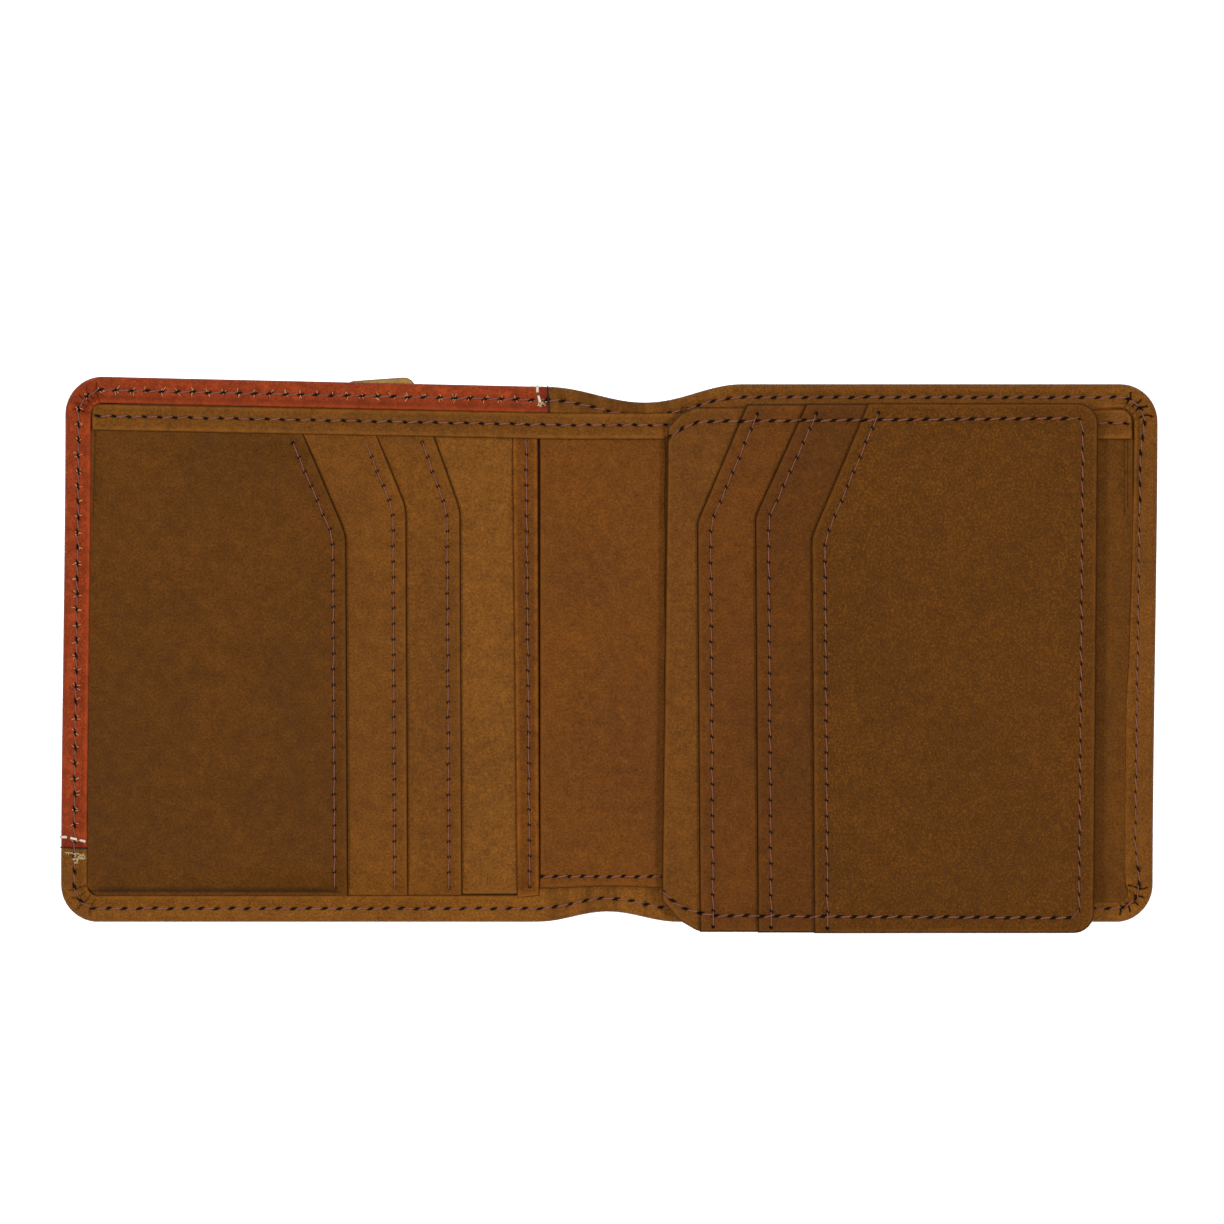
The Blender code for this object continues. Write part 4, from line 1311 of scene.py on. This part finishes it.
def page_seam_route(outline):
    """From the hinge at the foot, round the page's three free edges, to the hinge at the top."""
    inset = offset_line(outline, SEAM_INSET)
    inset = inset[distance(inset, closed(outline)) > SEAM_INSET * 0.9]
    inset = inset[inset[:, 0] > PAGE_LOW[0] + 9.0]
    inset = inset[np.argsort(np.arctan2(inset[:, 1], inset[:, 0] - PAGE_LOW[0] - 15.0))]
    xs = np.arange(PAGE_LOW[0] - 1.1, PAGE_LOW[0] + 9.0, 0.4)
    foot = np.stack([xs, PAGE_LOW[1] + SEAM_INSET + 5.2 * np.exp((PAGE_LOW[0] - 1.1 - xs) / 4.0)], 1)
    head = [(PAGE_LOW[0] + 5.8, PAGE_HIGH[1] - 3.1), (PAGE_LOW[0] + 3.4, PAGE_HIGH[1] - 4.0),
            (PAGE_LOW[0] + 0.2, PAGE_HIGH[1] - 6.0)]
    return densify(np.vstack([foot, inset, head]), 1.0)


# number: how far the top of the front edge slants aside and down, its drop, material and slot
PAGE_SLOTS = {
    1: ((9.2, 21.7), None, SLOT_LEATHERS[0], "brown_leather"),
    2: ((9.5, 20.6), None, SLOT_LEATHERS[1], "reddish_brown_leather"),
    3: ((10.5, 24.4), (1.1, 42, 66), SLOT_LEATHERS[2], "dark_brown_leather"),
}


def make_page():
    outline = page_outline()
    back_low, back_high = box("page_back")
    clear_of_spine = np.array([PAGE_LOW[0] + 1.2, -math.inf])
    back_level = page_level((back_low[2] + back_high[2]) / 2 + 0.1, 3)
    back = Sheet(np.maximum(outline, clear_of_spine), back_level, spacing=2.2)
    lay(back, "page_back_leather", PAGE_LEATHER, "page", "brown_leather", "page_back")
    edge_seam = Seam(page_seam_route(outline), PITCH, 1.15, 0.21, 0.2)
    edge_seam.size = 1 - 0.35 * (edge_seam.holes[:, 0] > PAGE_HIGH[0] - 3.5)
    base = Sheet(outline, page_level(PAGE_HIGH[2] - 0.25, 5), seams=[edge_seam.near(outline)])
    lay(base, "page_base_leather", PAGE_BASE_LEATHER, "page", "olive_tan_leather", "page_base")
    sheets = [base]
    for number, (slant, drop, material, slot) in PAGE_SLOTS.items():
        low, high = box(f"page_slot_{number}")
        side = low[0]
        grow = 0.1 * number
        top, bottom = PAGE_HIGH[1] + grow, PAGE_LOW[1] - grow
        rest = np.array([(high[0], bottom), (high[0], top)])
        if number == 3:
            rest = page_outline(grow)
            rest = rest[rest[:, 0] > side + 20]
            rest = rest[np.argsort(np.arctan2(rest[:, 1], rest[:, 0] - 60))]
        sheets.append(pocket(
            f"page_slot_{number}", "page", slot, material,
            [(side + slant[0], top), (side, PAGE_HIGH[1] - slant[1]), (side + 0.5, bottom)], 5, rest,
            (bottom + 0.5, top - 0.5), page_level((low[2] + high[2]) / 2, 10 + number, drop),
            holes=(0.3, 0.24, 0.3), slant=0.08, fold=0.2, crossing=edge_seam,
        ))

    def ground(xy):
        return np.max([np.where(inside(xy, sheet.outline), sheet.ground(xy), 0.0) for sheet in sheets], 0)

    sew(edge_seam, ground, "page_edge_thread", "page", "page_edge_seam")
    make_hinge()


def make_hinge():
    """The strip that the page hangs on: from the panel's level up to the page's back."""
    low, high = box("page_hinge_strip")
    shape = Shape()
    ys = np.linspace(low[1], high[1], 70)
    profile = [(high[0] + 2.2, low[2] + 0.6), (high[0] + 0.9, low[2] + 0.3), (high[0] + 0.3, low[2] + 0.4),
               (high[0], low[2] + 0.9), (high[0], high[2] - 0.6), (high[0] + 0.3, high[2] - 0.2),
               (high[0] + 1.4, high[2] - 0.1)]
    rings = [np.stack([x + 0.08 * np.sin(ys * 0.4), ys, np.full(len(ys), z)], 1) for x, z in profile]
    shape.loft(rings)
    # its leather is darkened as a painted shadow of the page
    part = shape.build("page_hinge_leather", HINGE_SHADOW_LEATHER)
    thick = part.modifiers.new("thickness", "SOLIDIFY")
    thick.thickness = 0.3 * MM
    bpy.context.view_layer.update()
    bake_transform(part)
    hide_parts("page_hinge_strip")


# Linings, boards and the tab


def flat_at(height):
    return lambda xy: np.full(len(xy), height)


def make_linings():
    for zone, outline in zone_polygons(cover_line(1.6)):
        sheet = Sheet(outline, flat_at(2.1), LINING_THICKNESS, spacing=4.0, step=1.5, extra=[crease_rows()],
                      near=flat_at(NO_EDGE))
        part = sheet.shape().build("note_lining_" + zone.name + "_cloth", LINING)
        bend(part, zone, "lining_fabric", *zone_nodes("note_lining", zone))
    for name, body in (("pocket_back_front", "left_half"), ("pocket_back_back", "right_half")):
        low, high = box(name)
        corners = [(low[0], low[1]), (high[0], low[1]), (high[0], high[1]), (low[0], high[1])]
        sheet = Sheet(rounded(corners, [2] * 4), flat_at(2.9), LINING_THICKNESS, spacing=4.0, step=3.0)
        lay(sheet, name + "_cloth", LINING, body, "lining_fabric", name)
    for name in ("stiffener_front", "stiffener_back", "page_board"):
        for slot in frame["nodes"][name].material_slots:
            slot.material = BOARD


def make_tab():
    low, high = box("edge_tab")
    turn = math.radians(4)
    across = np.array([math.cos(turn), math.sin(turn)])
    up = np.array([-math.sin(turn), math.cos(turn)])
    centre = (low + high)[:2] / 2
    corners = [centre + across * x * 6.7 + up * y * 4.4 for x, y in ((-1, -1), (1, -1), (1, 1), (-1, 1))]
    sheet = Sheet(rounded(corners, [2.2] * 4), flat_at(low[2] + 0.05), 0.5, spacing=1.2, step=0.6)
    lay(sheet, "edge_tab_leather", TAB_LEATHER, "left_half", "tan_leather", "edge_tab")


# Light, floor and camera


def make_stage():
    """A white floor under a white sky, and four lamps that face the wallet."""
    half = 4.0
    mesh = bpy.data.meshes.new("floor")
    corners = [(-half, -half, 0), (half, -half, 0), (half, half, 0), (-half, half, 0)]
    mesh.from_pydata(corners, [], [(0, 1, 2, 3)])
    floor = bpy.data.objects.new("floor", mesh)
    floor.location.z = -0.25 * MM
    bpy.context.scene.collection.objects.link(floor)
    n = Nodes("floor")
    n.put(n.shader.inputs, {
        "Base Color": (0.9, 0.9, 0.9, 1.0), "Roughness": 0.9, "Specular IOR Level": 0.1,
        "Emission Color": (1.0, 1.0, 1.0, 1.0), "Emission Strength": 0.45,
    })
    mesh.materials.append(n.material)
    world = bpy.data.worlds.new("studio")
    world.use_nodes = True
    background = world.node_tree.nodes["Background"]
    background.inputs["Color"].default_value = (1.0, 1.0, 1.0, 1.0)
    background.inputs["Strength"].default_value = 0.4
    bpy.context.scene.world = world
    for name, place, power in (
        ("light_right", (1.0, 0.12, 1.9), 27.0),
        ("light_left", (-1.0, 0.08, 1.9), 27.0),
        ("light_top", (0.1, 1.0, 1.9), 9.0),
        ("light_bottom", (-0.1, -1.0, 1.9), 9.0),
    ):
        light = bpy.data.lights.new(name, "AREA")
        light.energy = power
        light.size = 0.4
        lamp = bpy.data.objects.new(name, light)
        lamp.location = place
        lamp.rotation_euler = (-Vector(place)).to_track_quat("-Z", "Y").to_euler()
        bpy.context.scene.collection.objects.link(lamp)


FRAME_SHARE = 1.115  # the picture's width against the wallet's
VIEW_ASIDE, VIEW_UP = 0.5 * MM, 7.6 * MM  # from the wallet's middle to the picture's
COVER_SURFACE = 4 * MM


def make_camera():
    """Straight above and far away: the photo shows no perspective."""
    data = bpy.data.cameras.new("camera")
    data.lens = 400.0
    data.sensor_width = 36.0
    data.clip_end = 20.0
    camera = bpy.data.objects.new("camera", data)
    low, high = cad_box
    centre = (low + high) / 2
    height = (high.x - low.x) * FRAME_SHARE / 2 / (data.sensor_width / 2 / data.lens)
    camera.location = (centre.x + VIEW_ASIDE, centre.y + VIEW_UP, height + COVER_SURFACE)
    bpy.context.scene.collection.objects.link(camera)
    bpy.context.scene.camera = camera
    bpy.context.scene.view_settings.view_transform = "Standard"


make_cover()
make_red_border()
make_rim_threads()
make_loose_thread()
make_linings()
make_left_interior()
make_centre()
make_top_binding()
make_right_interior()
make_page()
make_tab()
make_stage()
make_camera()
